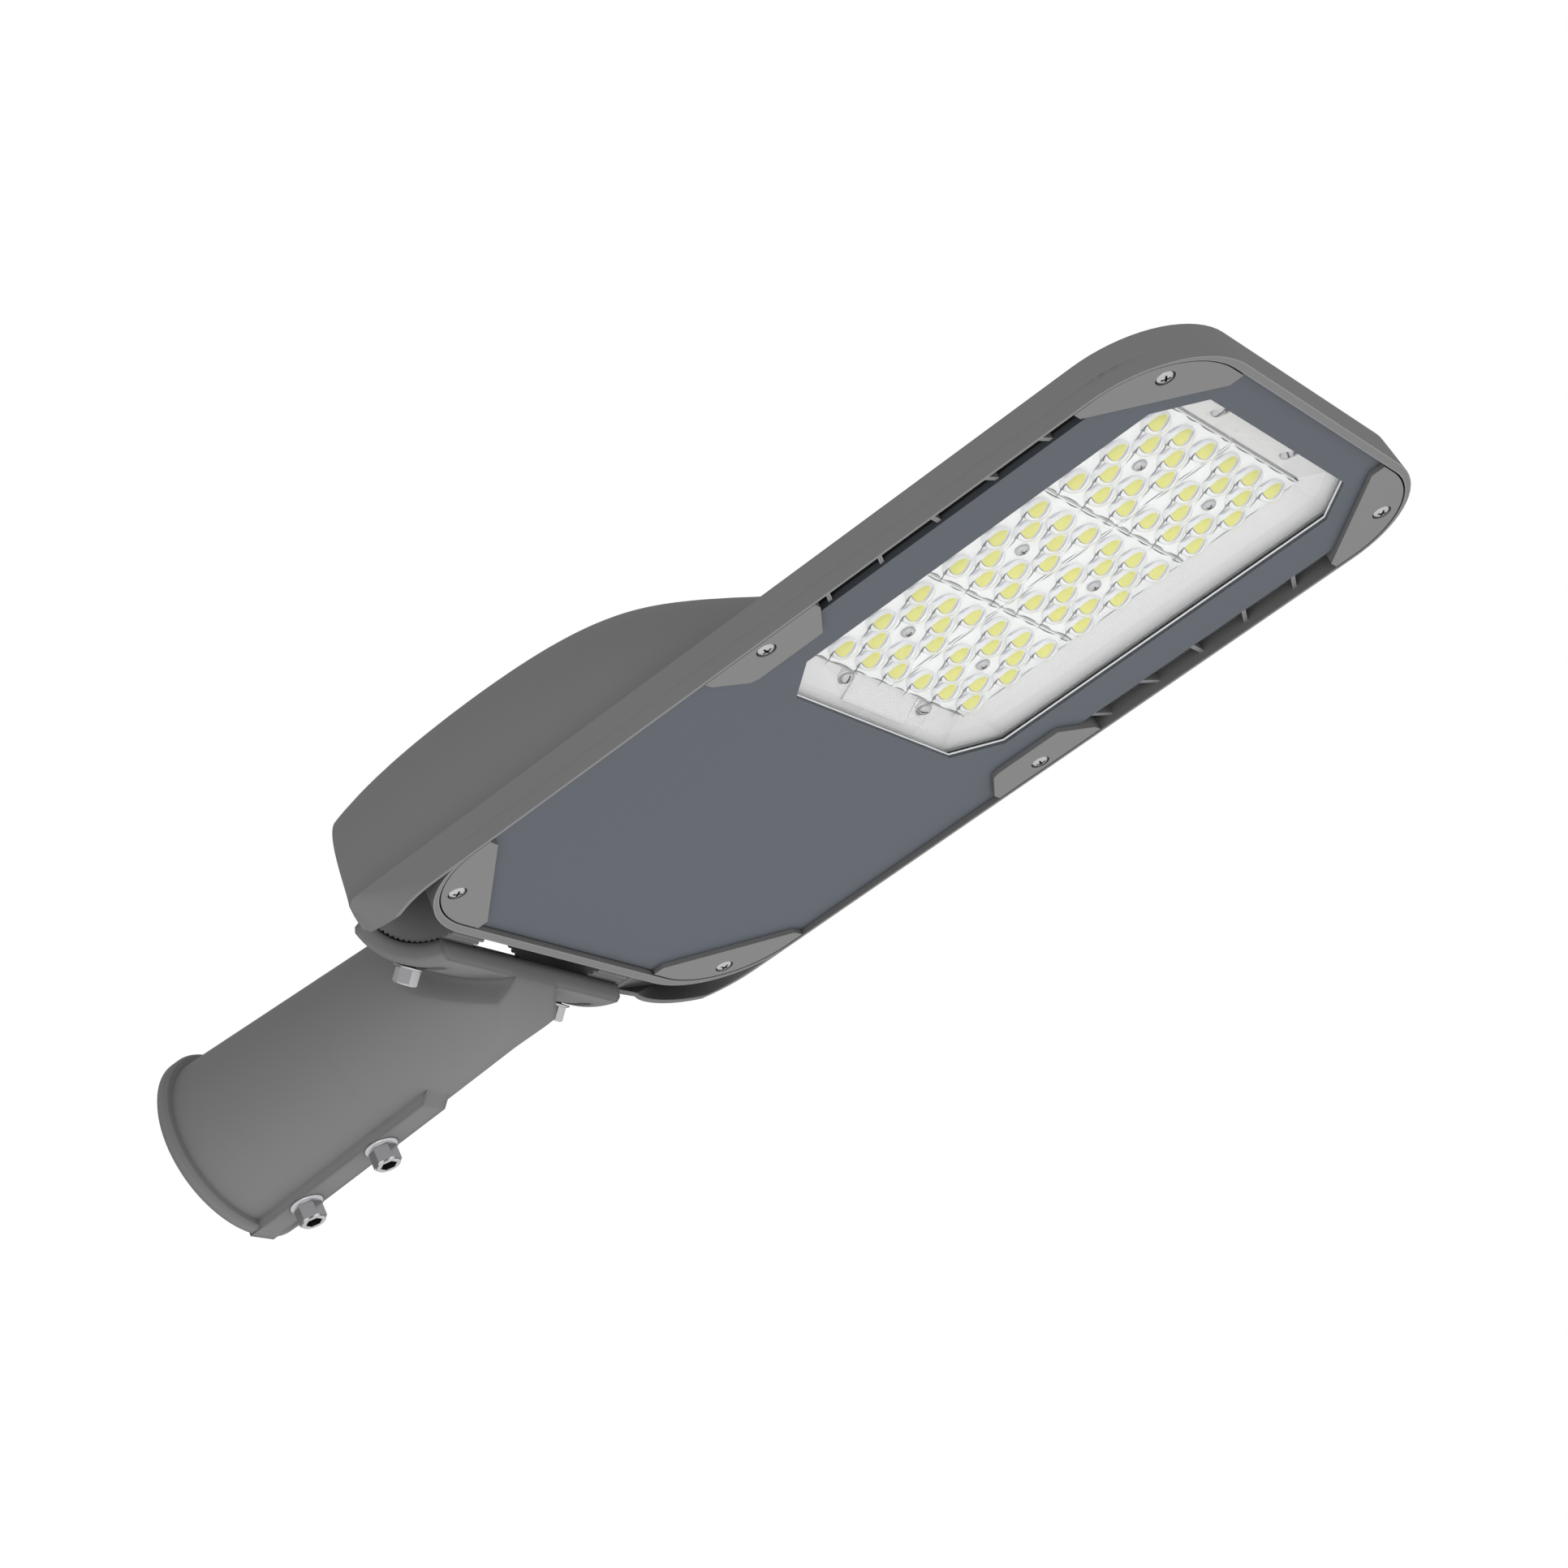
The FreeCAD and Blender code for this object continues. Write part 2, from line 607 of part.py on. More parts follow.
def dome():
    """The driver dome as a smooth loft through its sections, with a hollow foot along each side."""
    wires = []
    for x, inset, top in DOME_SECTIONS:
        half = HEAD_HALF_W - inset
        height = top - BAND_TOP_Z
        right = [V(x, half * share_y, BAND_TOP_Z + height * share_z) for share_y, share_z in DOME_CURVE]
        left = [V(p.x, -p.y, p.z) for p in reversed(right[:-1])]
        curve = Part.BSplineCurve()
        curve.interpolate(right + left)
        wires.append(Part.Wire([curve.toShape(), Part.makeLine(left[-1], right[0])]))
    return Part.makeLoft(wires, True, False)


def dome_hollow():
    """The room in the dome for the gear, stepped to follow the roof."""
    steps = []
    start = POCKET_NEAR_X
    for end, half_outline in DOME_HOLLOW:
        low = BAND_TOP_Z - 1.0
        right = [V(start, HEAD_HALF_W - inset, z) for inset, z in half_outline]
        right.insert(0, V(start, right[0].y, low))
        left = [V(start, -p.y, p.z) for p in reversed(right)]
        ring = right + left
        steps.append(Part.Face(Part.makePolygon(ring + ring[:1])).extrude(V(end - start, 0, 0)))
        start = end
    return joined(steps)


def rounded_plan(near_x, tip_x, half, near_r, tip_r, z0, z1):
    """A rectangle along X with its own corner radius at each end."""
    def turn(cx, cy, r, a0, a1):
        pts = [V(cx + r * math.cos(math.radians(a)), cy + r * math.sin(math.radians(a)), z0) for a in (a0, (a0 + a1) / 2, a1)]
        return Part.Arc(*pts).toShape()

    wire = Part.Wire([
        Part.makeLine(V(near_x, -half + near_r, z0), V(near_x, half - near_r, z0)),
        turn(near_x + near_r, half - near_r, near_r, 180, 90),
        Part.makeLine(V(near_x + near_r, half, z0), V(tip_x - tip_r, half, z0)),
        turn(tip_x - tip_r, half - tip_r, tip_r, 90, 0),
        Part.makeLine(V(tip_x, half - tip_r, z0), V(tip_x, -half + tip_r, z0)),
        turn(tip_x - tip_r, -half + tip_r, tip_r, 0, -90),
        Part.makeLine(V(tip_x - tip_r, -half, z0), V(near_x + near_r, -half, z0)),
        turn(near_x + near_r, -half + near_r, near_r, -90, -180),
    ])
    return Part.Face(wire).extrude(V(0, 0, z1 - z0))


def near_corner(point):
    """A plan point given from the end wall and in from the head's side."""
    return (END_WALL_X + point[0], HEAD_HALF_W - point[1])


def tip_corner(point):
    """A plan point given back from the tip and in from the head's side."""
    return (HEAD_TIP_X - point[0], HEAD_HALF_W - point[1])


def pocket(gap, z0, z1):
    """The rounded pocket that the cover and its pads lie in."""
    corner = POCKET_CORNER_R - gap
    return rounded_plan(POCKET_NEAR_X + gap, POCKET_TIP_X - gap, POCKET_HALF_W - gap, corner, corner, z0, z1)


def cover_points(inset=0.0):
    """The cover's half outline: cut corners under the pads and straight sides along the vents."""
    near_x = POCKET_NEAR_X + COVER_GAP + inset
    tip_x = POCKET_TIP_X - COVER_GAP - inset
    side_y = COVER_HALF_W - inset
    vent_y = SLOT_INNER_Y - 0.3 - inset
    notch_y = NOTCH_HALF_W - inset
    diagonal = PAD_OVERLAP - inset

    def line_of(start, end):
        (x0, y0), (x1, y1) = start, end
        length = math.hypot(x1 - x0, y1 - y0)
        nx = -(y1 - y0) / length
        ny = abs(x1 - x0) / length
        return (x0 + nx * diagonal, y0 + ny * diagonal), (x1 + nx * diagonal, y1 + ny * diagonal)

    (ax, ay), (bx, by) = line_of(*[near_corner(p) for p in PAD_NEAR])
    (cx, cy), (dx, dy) = line_of(*[tip_corner(p) for p in PAD_TIP])

    def on(x0, y0, x1, y1, x=None, y=None):
        if x is not None:
            return (x, y0 + (y1 - y0) * (x - x0) / (x1 - x0))
        return (x0 + (x1 - x0) * (y - y0) / (y1 - y0), y)

    mid_a = SLOT_START_X - PAD_MID_TOP[0] - 3.0 - inset
    mid_b = SLOT_START_X - PAD_MID_TOP[0] + 4.5 - inset
    mid_c = SLOT_START_X - 9.0
    mid_d = SLOT_START_X - 6.5
    return [
        (near_x, 0.0),
        on(ax, ay, bx, by, x=near_x),
        on(ax, ay, bx, by, y=side_y),
        (mid_a, side_y),
        (mid_b, notch_y),
        (mid_c, notch_y),
        (mid_d, vent_y),
        on(cx, cy, dx, dy, y=vent_y),
        on(cx, cy, dx, dy, x=tip_x),
        (tip_x, 0.0),
    ]


def cover_prism(inset, z0, z1):
    return prism(mirrored(cover_points(inset)), z0, z1)


def window_points(grow=0.0):
    """The window's half outline, a rectangle with cut corners."""
    diagonal = grow * math.tan(math.radians(22.5))
    near = WINDOW_NEAR_X - grow
    tip = WINDOW_TIP_X + grow
    half = WINDOW_HALF_W + grow
    cut = WINDOW_CHAMFER
    return [
        (near, 0.0),
        (near, half - cut - grow + diagonal),
        (near + cut + grow - diagonal, half),
        (tip - cut - grow + diagonal, half),
        (tip, half - cut - grow + diagonal),
        (tip, 0.0),
    ]


def window_prism(grow, z0, z1):
    return prism(mirrored(window_points(grow)), z0, z1)


def pad_screw_places():
    places = []
    mid = (SLOT_START_X - PAD_SCREW_MID[0], HEAD_HALF_W - PAD_SCREW_MID[1])
    for x, y in (near_corner(PAD_SCREW_NEAR), mid, tip_corner(PAD_SCREW_TIP)):
        for side in (-1, 1):
            places.append((x, side * y))
    return places


def tray_screw_places():
    return [(x, side * TRAY_SCREW_Y) for x in TRAY_SCREW_X for side in (-1, 1)]


def gear_tray_near():
    """Where the gear tray starts, so that its rounded corners clear the cut corners of the chamber."""
    (x0, y0), (x1, y1) = cover_points(CHAMBER_IN)[1:3]
    corner_x = x0 + (GEAR_TRAY_HALF_W - y0) * (x1 - x0) / (y1 - y0)
    return max(corner_x, x0 + GEAR_GAP)


def gear_posts():
    half = GEAR_TRAY_HALF_W - POST_INSET
    along = (gear_tray_near() + POST_INSET, GEAR_TRAY_FAR_X - POST_INSET)
    return [(x, side * half) for x in along for side in (-1, 1)]


def module_centres():
    centres = []
    for i in range(MODULES_ALONG):
        for j in range(MODULES_ACROSS):
            x = ENGINE_X + (i - (MODULES_ALONG - 1) / 2) * MODULE_X
            y = (j - (MODULES_ACROSS - 1) / 2) * MODULE_Y
            centres.append((x, y))
    return centres


def rib_x(number, y):
    """Where the middle line of one vent rib lies at y."""
    place = number - (VENT_RIB_COUNT - 1) / 2
    lean = 0.0
    if place:
        lean = math.copysign(math.tan(math.radians(VENT_RIB_FAN_DEG)), place)
    return VENT_RIB_X + place * VENT_RIB_PITCH - lean * (abs(y) - (SLOT_INNER_Y + POCKET_HALF_W) / 2)


def vent_ribs():
    """Thin ribs that fan across each side vent."""
    ribs = []
    t = VENT_RIB_T / 2
    for number in range(VENT_RIB_COUNT):
        for side in (-1, 1):
            inner = side * SLOT_INNER_Y
            outer = side * (POCKET_HALF_W + SIDE_LIP / 2)
            in_x = rib_x(number, inner)
            out_x = rib_x(number, outer)
            pts = [(in_x - t, inner), (in_x + t, inner), (out_x + t, outer), (out_x - t, outer)]
            ribs.append(prism(pts, VENT_RIB_BOTTOM_Z, BAND_TOP_Z))
    return ribs


def make_fins():
    fins = []
    for k in range(FIN_COUNT):
        y = (k - (FIN_COUNT - 1) / 2) * FIN_PITCH
        profile = [
            (FIN_ROOT_X, CROWN_TOP_Z - 1), (FIN_TIP_X, CROWN_TOP_Z - 1), (FIN_TIP_X, CROWN_TOP_Z),
            (FIN_TIP_X - FIN_SLOPE, FIN_TOP_Z), (FIN_ROOT_X, FIN_TOP_Z),
        ]
        fins.append(side_prism(profile, FIN_T / 2, y))
    return fins


def make_arms():
    """The two toothed arms behind the end wall that the saddle is bolted to."""
    arms = []
    outline = toothed(ARM_R, -TOOTH_H, 0.0, ARM_LAST_DEG)
    outline[0] = knuckle_point(ARM_R, 0.0)
    outline.append((ARM_BACK_X, outline[-1][1]))
    outline.append((ARM_BACK_X, ARM_TOP_Z))
    outline.append((END_WALL_X + 1, ARM_TOP_Z))
    outline.append((END_WALL_X + 1, outline[0][1]))
    for side in (-1, 1):
        arms.append(side_prism(outline, ARM_W / 2, side * ARM_Y))
    return arms


def make_housing():
    """The die cast head: side band, finned top, driver dome, end wall and toothed arms."""
    waist = head_wire(BAND_DRAFT, BAND_TOP_Z)
    band = between(head_wire(0, BAND_BOTTOM_Z, True), waist)
    crown = between(waist, head_wire(CROWN_INSET, CROWN_TOP_Z))
    shell = between(waist, head_wire(BAND_DRAFT + REAR_LEAN, DOME_TOP_Z))
    body = joined([band, crown, dome().common(shell)] + make_fins())

    chamber = cover_prism(CHAMBER_IN, LEDGE_Z - 1, CEILING_Z)
    body = body.cut([chamber, dome_hollow(), pocket(0, BAND_BOTTOM_Z - 1, LEDGE_Z)])

    # The open recess behind the end wall, where the knuckle works.
    below = BAND_BOTTOM_Z - 0.1
    recess_low = between(head_wire(RECESS_LIP, below, True), head_wire(BAND_DRAFT + RECESS_WALL, BAND_TOP_Z))
    recess_high = between(
        head_wire(BAND_DRAFT + RECESS_WALL, BAND_TOP_Z), head_wire(BAND_DRAFT + REAR_LEAN + RECESS_WALL, DOME_TOP_Z),
    )
    roof = [(SADDLE_HALF_W + beside, z) for beside, z in RECESS_ROOF]
    roof.insert(0, (roof[0][0], BAND_TOP_Z - 5))
    other = [(-y, z) for y, z in reversed(roof)]
    shoulders = along_prism(roof + [(0.0, RECESS_TOP_Z)] + other, 0, END_WALL_X + 5).common(recess_high)
    end_wall_r = POCKET_CORNER_R + END_WALL_T
    keep = rounded_plan(END_WALL_X, HEAD_TIP_X + 50, HEAD_HALF_W, end_wall_r, 10.0, below - 2, DOME_TOP_Z)
    body = body.cut([recess_low.cut(keep), shoulders.cut(keep)])
    arch_half = [V(0, HEAD_HALF_W - inset, z) for inset, z in ARCH_FOOT]
    arch_half += [V(0, SADDLE_HALF_W + beside, z) for beside, z in ARCH_CROWN]
    arch_back = [V(p.x, -p.y, p.z) for p in reversed(arch_half)]
    curve = Part.BSplineCurve()
    curve.interpolate(arch_half + [V(0, 0, ARCH_TOP_Z)] + arch_back)
    low = BAND_BOTTOM_Z - 5
    first = arch_half[0]
    last = arch_back[-1]
    arch = Part.Wire([
        curve.toShape(),
        Part.makeLine(last, V(0, last.y, low)),
        Part.makeLine(V(0, last.y, low), V(0, first.y, low)),
        Part.makeLine(V(0, first.y, low), first),
    ])
    body = body.cut(Part.Face(arch).extrude(V(END_WALL_X + 2, 0, 0)).cut(keep))

    skin = between(head_wire(RIB_COVER, BAND_BOTTOM_Z, True), head_wire(BAND_DRAFT + RIB_COVER, BAND_TOP_Z))
    body = joined([body] + make_arms() + [rib.common(skin) for rib in vent_ribs()])

    cuts = []
    # Side vents, open from the channel beside the cover right through the top.
    for side in (-1, 1):
        inner = side * SLOT_INNER_Y
        outer = side * (HEAD_HALF_W - CHANNEL_WALL_T)
        cuts.append(box(SLOT_START_X, SLOT_END_X, min(inner, outer), max(inner, outer), BAND_TOP_Z, DOME_TOP_Z))
        for cell in vent_cells(side):
            cuts.append(prism(cell, LEDGE_Z - 0.5, BAND_TOP_Z + 0.1))
    for x, y in pad_screw_places():
        cuts.append(Part.makeCylinder(PAD_SCREW_D / 2, PAD_SCREW_LEN - 4.0, V(x, y, LEDGE_Z - 1)))
    out = radial(TILT_BOLT_DEG)
    for side in (-1, 1):
        foot = knuckle_point(ARM_R + 1, TILT_BOLT_DEG)
        cuts.append(Part.makeCylinder(TILT_BOLT_D / 2, 18.0, V(foot[0], side * ARM_Y, foot[1]), out * -1))
    cuts.append(Part.makeCylinder(GLAND_D / 2, 20, V(END_WALL_X - 5, GLAND_Y, GLAND_Z), V(1, 0, 0)))
    cuts.append(Part.makeCylinder(VENT_D / 2, 20, V(END_WALL_X - 5, VENT_Y, GLAND_Z), V(1, 0, 0)))
    body = body.cut(cuts)

    posts = []
    foot = GEAR_TRAY_Z + GEAR_TRAY_T
    middle = (gear_tray_near() + GEAR_TRAY_FAR_X) / 2
    for x, y in gear_posts():
        top = POST_TOP_Z[0] if x < middle else POST_TOP_Z[1]
        post = Part.makeCylinder(POST_D / 2, top - foot, V(x, y, foot))
        posts.append(post.cut(Part.makeCylinder(GEAR_SCREW_D / 2, GEAR_SCREW_LEN, V(x, y, GEAR_TRAY_Z))))
    return joined([body] + posts)


def vent_cells(side):
    """The spaces between the ribs of one side vent, as plan outlines."""
    inner = side * SLOT_INNER_Y
    outer = side * (HEAD_HALF_W - CHANNEL_WALL_T)
    cells = []
    t = VENT_RIB_T / 2
    for k in range(VENT_RIB_COUNT + 1):
        left = [SLOT_START_X, SLOT_START_X]
        right = [SLOT_END_X, SLOT_END_X]
        if k > 0:
            left = [rib_x(k - 1, inner) + t, rib_x(k - 1, outer) + t]
        if k < VENT_RIB_COUNT:
            right = [rib_x(k, inner) - t, rib_x(k, outer) - t]
        cells.append([(left[0], inner), (right[0], inner), (right[1], outer), (left[1], outer)])
    return cells


def make_cover():
    """The painted cover plate with its window opening and a rebate behind it."""
    plate = cover_prism(0, COVER_FACE_Z, COVER_TOP_Z)
    opening = window_prism(0, COVER_FACE_Z - 1, COVER_TOP_Z + 1)
    rebate = window_prism(WINDOW_LIP_W, COVER_FACE_Z + WINDOW_LIP_T, COVER_TOP_Z + 1)
    return plate.cut([opening, rebate])


def make_window_gasket():
    outer = window_prism(WINDOW_LIP_W - 0.4, COVER_FACE_Z + WINDOW_LIP_T, GLASS_BOTTOM_Z)
    return outer.cut(window_prism(1.0, COVER_FACE_Z, GLASS_TOP_Z))


def make_glass():
    return window_prism(WINDOW_LIP_W - 0.4, GLASS_BOTTOM_Z, GLASS_TOP_Z)


def make_cover_gasket():
    outer = cover_prism(0.3, COVER_TOP_Z, LEDGE_Z)
    return outer.cut(cover_prism(GASKET_W, COVER_TOP_Z - 1, LEDGE_Z + 1))


def pad_from(outline, side):
    """One clamp pad: a plate over the cover's edge and a foot down to the housing."""
    points = [(x, side * y) for x, y in outline]
    plate = prism(points, PAD_FACE_Z, COVER_FACE_Z)
    foot = prism(points, COVER_FACE_Z, LEDGE_Z)
    edge = cover_prism(-0.5, COVER_FACE_Z - 0.1, LEDGE_Z + 1)
    pad = joined([plate, foot.cut(edge)]).common(pocket(PAD_GAP, PAD_FACE_Z - 1, LEDGE_Z + 1))
    holes = []
    for x, y in pad_screw_places():
        if y * side > 0:
            holes.append(Part.makeCylinder(PAD_SCREW_D / 2 + 0.2, 30, V(x, y, PAD_FACE_Z - 5)))
            holes.append(Part.makeCylinder(PAD_SCREW_HEAD_D / 2 + 0.2, 5 + PAD_SCREW_SINK, V(x, y, PAD_FACE_Z - 5)))
    pad = pad.cut(holes)
    return max(pad.Solids, key=lambda solid: solid.Volume)


def make_pads():
    far = HEAD_HALF_W + 5
    near_a, near_b = [near_corner(p) for p in PAD_NEAR]
    tip_a, tip_b = [tip_corner(p) for p in PAD_TIP]
    shoulder_y = HEAD_HALF_W - PAD_MID_SHOULDER_IN
    inner_y = HEAD_HALF_W - PAD_MID_IN
    base_a, base_b = [SLOT_START_X - back for back in PAD_MID_BASE]
    top_a, top_b = [SLOT_START_X - back for back in PAD_MID_TOP]
    outlines = {
        "near": [(END_WALL_X - 5, near_a[1]), near_a, near_b, (near_b[0] + 1.0, far), (END_WALL_X - 5, far)],
        "mid": [
            (base_a, far), (base_a, shoulder_y), (top_a - 1.2, inner_y + 1.2),
            (top_a + 1.6, inner_y), (top_b - 1.3, inner_y),
            (base_b - 0.5, shoulder_y), (base_b, far),
        ],
        "tip": [(tip_a[0], far), tip_a, tip_b, (HEAD_TIP_X + 5, tip_b[1]), (HEAD_TIP_X + 5, far)],
    }
    for name, outline in outlines.items():
        for side, hand in ((-1, "right"), (1, "left")):
            save("clamp_pad_" + name + "_" + hand, pad_from(outline, side))


def make_pad_screws():
    return Part.makeCompound([
        pan_screw(x, y, PAD_FACE_Z + PAD_SCREW_SINK, PAD_SCREW_D - 0.4, PAD_SCREW_HEAD_D, PAD_SCREW_HEAD_H, PAD_SCREW_LEN)
        for x, y in pad_screw_places()
    ])


def make_board():
    half_x = MODULE_X * MODULES_ALONG / 2 + BOARD_MARGIN
    half_y = MODULE_Y * MODULES_ACROSS / 2 + BOARD_MARGIN
    board = box(ENGINE_X - half_x, ENGINE_X + half_x, -half_y, half_y, BOARD_Z, CEILING_Z)
    holes = [Part.makeCylinder(MODULE_SCREW_D / 2 + 0.2, 10, V(x, y, BOARD_Z - 5)) for x, y in module_centres()]
    return board.cut(holes)


def chip_places():
    places = []
    for mx, my in module_centres():
        for i, j in CHIP_CELLS:
            places.append((mx + i * CHIP_PITCH_X, my + j * CHIP_PITCH_Y))
    return places


def make_chips():
    half = CHIP / 2
    return Part.makeCompound([box(x - half, x + half, y - half, y + half, CHIP_Z, BOARD_Z) for x, y in chip_places()])


def lens_bump(x, y):
    """One optic: a bump on the lens plate, narrower towards the tip."""
    def ring(scale, z):
        pts = []
        for k in range(LENS_FLANKS):
            turn = math.radians(360 / LENS_FLANKS * (k + 0.5))
            pts.append(V(x + scale * LENS_WIDE / 2 * math.cos(turn), y + scale * LENS_LONG / 2 * math.sin(turn), z))
        return pts

    return frustum(ring(1.0, PLATE_BOTTOM_Z + 0.2), ring(0.5, PLATE_BOTTOM_Z - LENS_DOME_H))


def make_lens(mx, my):
    half_x = (MODULE_X - MODULE_GAP) / 2
    half_y = (MODULE_Y - MODULE_GAP) / 2
    plate = box(mx - half_x, mx + half_x, my - half_y, my + half_y, PLATE_BOTTOM_Z, BOARD_Z)
    under = box(
        mx - half_x + LENS_SKIRT_T, mx + half_x - LENS_SKIRT_T,
        my - half_y + LENS_SKIRT_T, my + half_y - LENS_SKIRT_T, PLATE_TOP_Z, BOARD_Z + 1,
    )
    bumps = [lens_bump(mx + i * CHIP_PITCH_X, my + j * CHIP_PITCH_Y) for i, j in CHIP_CELLS]
    square = box(mx - half_x, mx + half_x, my - half_y, my + half_y, -40, 40)
    bumps = [bump.common(square) for bump in bumps]
    lens = joined([plate.cut(under)] + bumps)
    return lens.cut(Part.makeCylinder(MODULE_SCREW_D / 2 + 0.2, 20, V(mx, my, PLATE_BOTTOM_Z - 10)))


def make_module_screws():
    return Part.makeCompound([
        pan_screw(x, y, PLATE_BOTTOM_Z, MODULE_SCREW_D - 0.4, MODULE_SCREW_HEAD_D, MODULE_SCREW_HEAD_H, CEILING_Z - PLATE_BOTTOM_Z - 0.1)
        for x, y in module_centres()
    ])


def engine_points(margin):
    """The hole in the tray that the lens plates look through."""
    half_x = MODULE_X * MODULES_ALONG / 2 + margin
    half_y = MODULE_Y * MODULES_ACROSS / 2 + margin
    cut = 2.0 + margin * 0.4
    near = ENGINE_X - half_x
    tip = ENGINE_X + half_x
    return [
        (near, 0.0), (near, half_y - cut), (near + cut, half_y),
        (tip - cut, half_y), (tip, half_y - cut), (tip, 0.0),
    ]


def ring_at(points, z):
    return [V(x, y, z) for x, y in mirrored(points)]


def make_tray():
    """The white tray that slopes from the window's edge in to the lenses."""
    rim_z = GLASS_TOP_Z + SEAT_GAP
    floor_z = PLATE_BOTTOM_Z - TRAY_FLOOR_DROP
    outer = frustum(ring_at(window_points(2.4), rim_z), ring_at(engine_points(TRAY_FLOOR_GAP + 1.6), floor_z + TRAY_T))
    inner = frustum(ring_at(window_points(1.0), rim_z - 0.01), ring_at(engine_points(TRAY_FLOOR_GAP), floor_z + TRAY_T + 0.01))
    tray = outer.cut(inner)
    near_x = ENGINE_X - MODULE_X * MODULES_ALONG / 2 - TRAY_FLOOR_GAP
    cut = box(RAMP_NEAR_X, near_x + 5, -RAMP_HALF_W, RAMP_HALF_W, rim_z - 1, floor_z + 3)
    tray = tray.cut(cut)
    deep_z = BOARD_Z - 0.3
    ramp = side_prism([
        (RAMP_NEAR_X - 0.4, rim_z + 0.5), (near_x, deep_z - RAMP_T), (near_x, deep_z), (RAMP_NEAR_X - 0.4, rim_z + 0.5 + RAMP_T),
    ], RAMP_HALF_W + RAMP_T)
    cheek = [(RAMP_NEAR_X - 0.4, rim_z + 0.5), (near_x, floor_z + 0.6), (near_x, deep_z)]
    cheeks = [side_prism(cheek, RAMP_T / 2, side * (RAMP_HALF_W + RAMP_T / 2)) for side in (-1, 1)]
    bosses = []
    for x, y in tray_screw_places():
        seat_z = floor_z - TRAY_BOSS_PROUD
        bosses.append(Part.makeCylinder(TRAY_BOSS_D / 2, BOARD_Z - seat_z, V(x, y, seat_z)))
    tray = joined([tray, ramp] + cheeks + bosses)
    board_x = MODULE_X * MODULES_ALONG / 2 + BOARD_MARGIN + 0.4
    board_y = MODULE_Y * MODULES_ACROSS / 2 + BOARD_MARGIN + 0.4
    holes = [box(ENGINE_X - board_x, ENGINE_X + board_x, -board_y, board_y, BOARD_Z - 0.2, CEILING_Z + 1)]
    half_x = MODULE_X * MODULES_ALONG / 2 + 0.3
    half_y = MODULE_Y * MODULES_ACROSS / 2 + 0.3
    holes.append(box(ENGINE_X - half_x, ENGINE_X + half_x, -half_y, half_y, rim_z - 5, CEILING_Z + 1))
    seat_z = floor_z - TRAY_BOSS_PROUD
    for x, y in tray_screw_places():
        holes.append(Part.makeCylinder(TRAY_SCREW_D / 2 + 0.2, 30, V(x, y, floor_z - 10)))
        holes.append(Part.makeCylinder(TRAY_SCREW_HEAD_D / 2 + 0.3, 5, V(x, y, seat_z - 5)))
    return tray.cut(holes)


def make_tray_screws():
    seat_z = PLATE_BOTTOM_Z - TRAY_FLOOR_DROP - TRAY_BOSS_PROUD
    return Part.makeCompound([
        pan_screw(x, y, seat_z, TRAY_SCREW_D - 0.4, TRAY_SCREW_HEAD_D, TRAY_SCREW_HEAD_H, CEILING_Z - seat_z - 0.1)
        for x, y in tray_screw_places()
    ])


def make_gear_tray():
    """The sheet that carries the driver, the surge protector and the terminal block."""
    half = GEAR_TRAY_HALF_W
    plate = box(gear_tray_near(), GEAR_TRAY_FAR_X, -half, half, GEAR_TRAY_Z, GEAR_TRAY_Z + GEAR_TRAY_T)
    corners = [edge for edge in plate.Edges if abs(edge.Length - GEAR_TRAY_T) < 0.01]
    plate = plate.makeFillet(GEAR_TRAY_CORNER_R, corners)
    holes = [Part.makeCylinder(GEAR_SCREW_D / 2 + 0.3, 10, V(x, y, GEAR_TRAY_Z - 5)) for x, y in gear_posts()]
    return plate.cut(holes)


def make_gear_screws():
    return Part.makeCompound([
        pan_screw(x, y, GEAR_TRAY_Z, GEAR_SCREW_D - 0.4, GEAR_SCREW_HEAD_D, GEAR_SCREW_HEAD_H, GEAR_SCREW_LEN)
        for x, y in gear_posts()
    ])


def on_gear_tray(size, along, y):
    """A block on the gear tray, along from the tray's near edge."""
    top = GEAR_TRAY_Z + GEAR_TRAY_T
    x = gear_tray_near() + along
    return box(x, x + size[0], y, y + size[1], top, top + size[2])


def driver_y():
    return GEAR_EDGE - GEAR_TRAY_HALF_W


def beside_driver_y():
    return driver_y() + DRIVER_SIZE[1] + GEAR_GAP


def make_driver():
    """The potted driver with rounded long edges."""
    body = on_gear_tray(DRIVER_SIZE, DRIVER_FROM_NEAR, driver_y())
    top = GEAR_TRAY_Z + GEAR_TRAY_T + DRIVER_SIZE[2]
    long_edges = []
    for edge in body.Edges:
        if abs(edge.Length - DRIVER_SIZE[0]) < 0.01 and abs(edge.CenterOfMass.z - top) < 0.01:
            long_edges.append(edge)
    return body.makeFillet(DRIVER_EDGE_R, long_edges)


def make_surge():
    along = TERMINAL_FROM_NEAR + TERMINAL_SIZE[0] + SURGE_FROM_TERMINAL
    body = on_gear_tray(SURGE_SIZE, along, beside_driver_y())
    upright = [edge for edge in body.Edges if abs(edge.Length - SURGE_SIZE[2]) < 0.01]
    return body.makeFillet(3.0, upright)


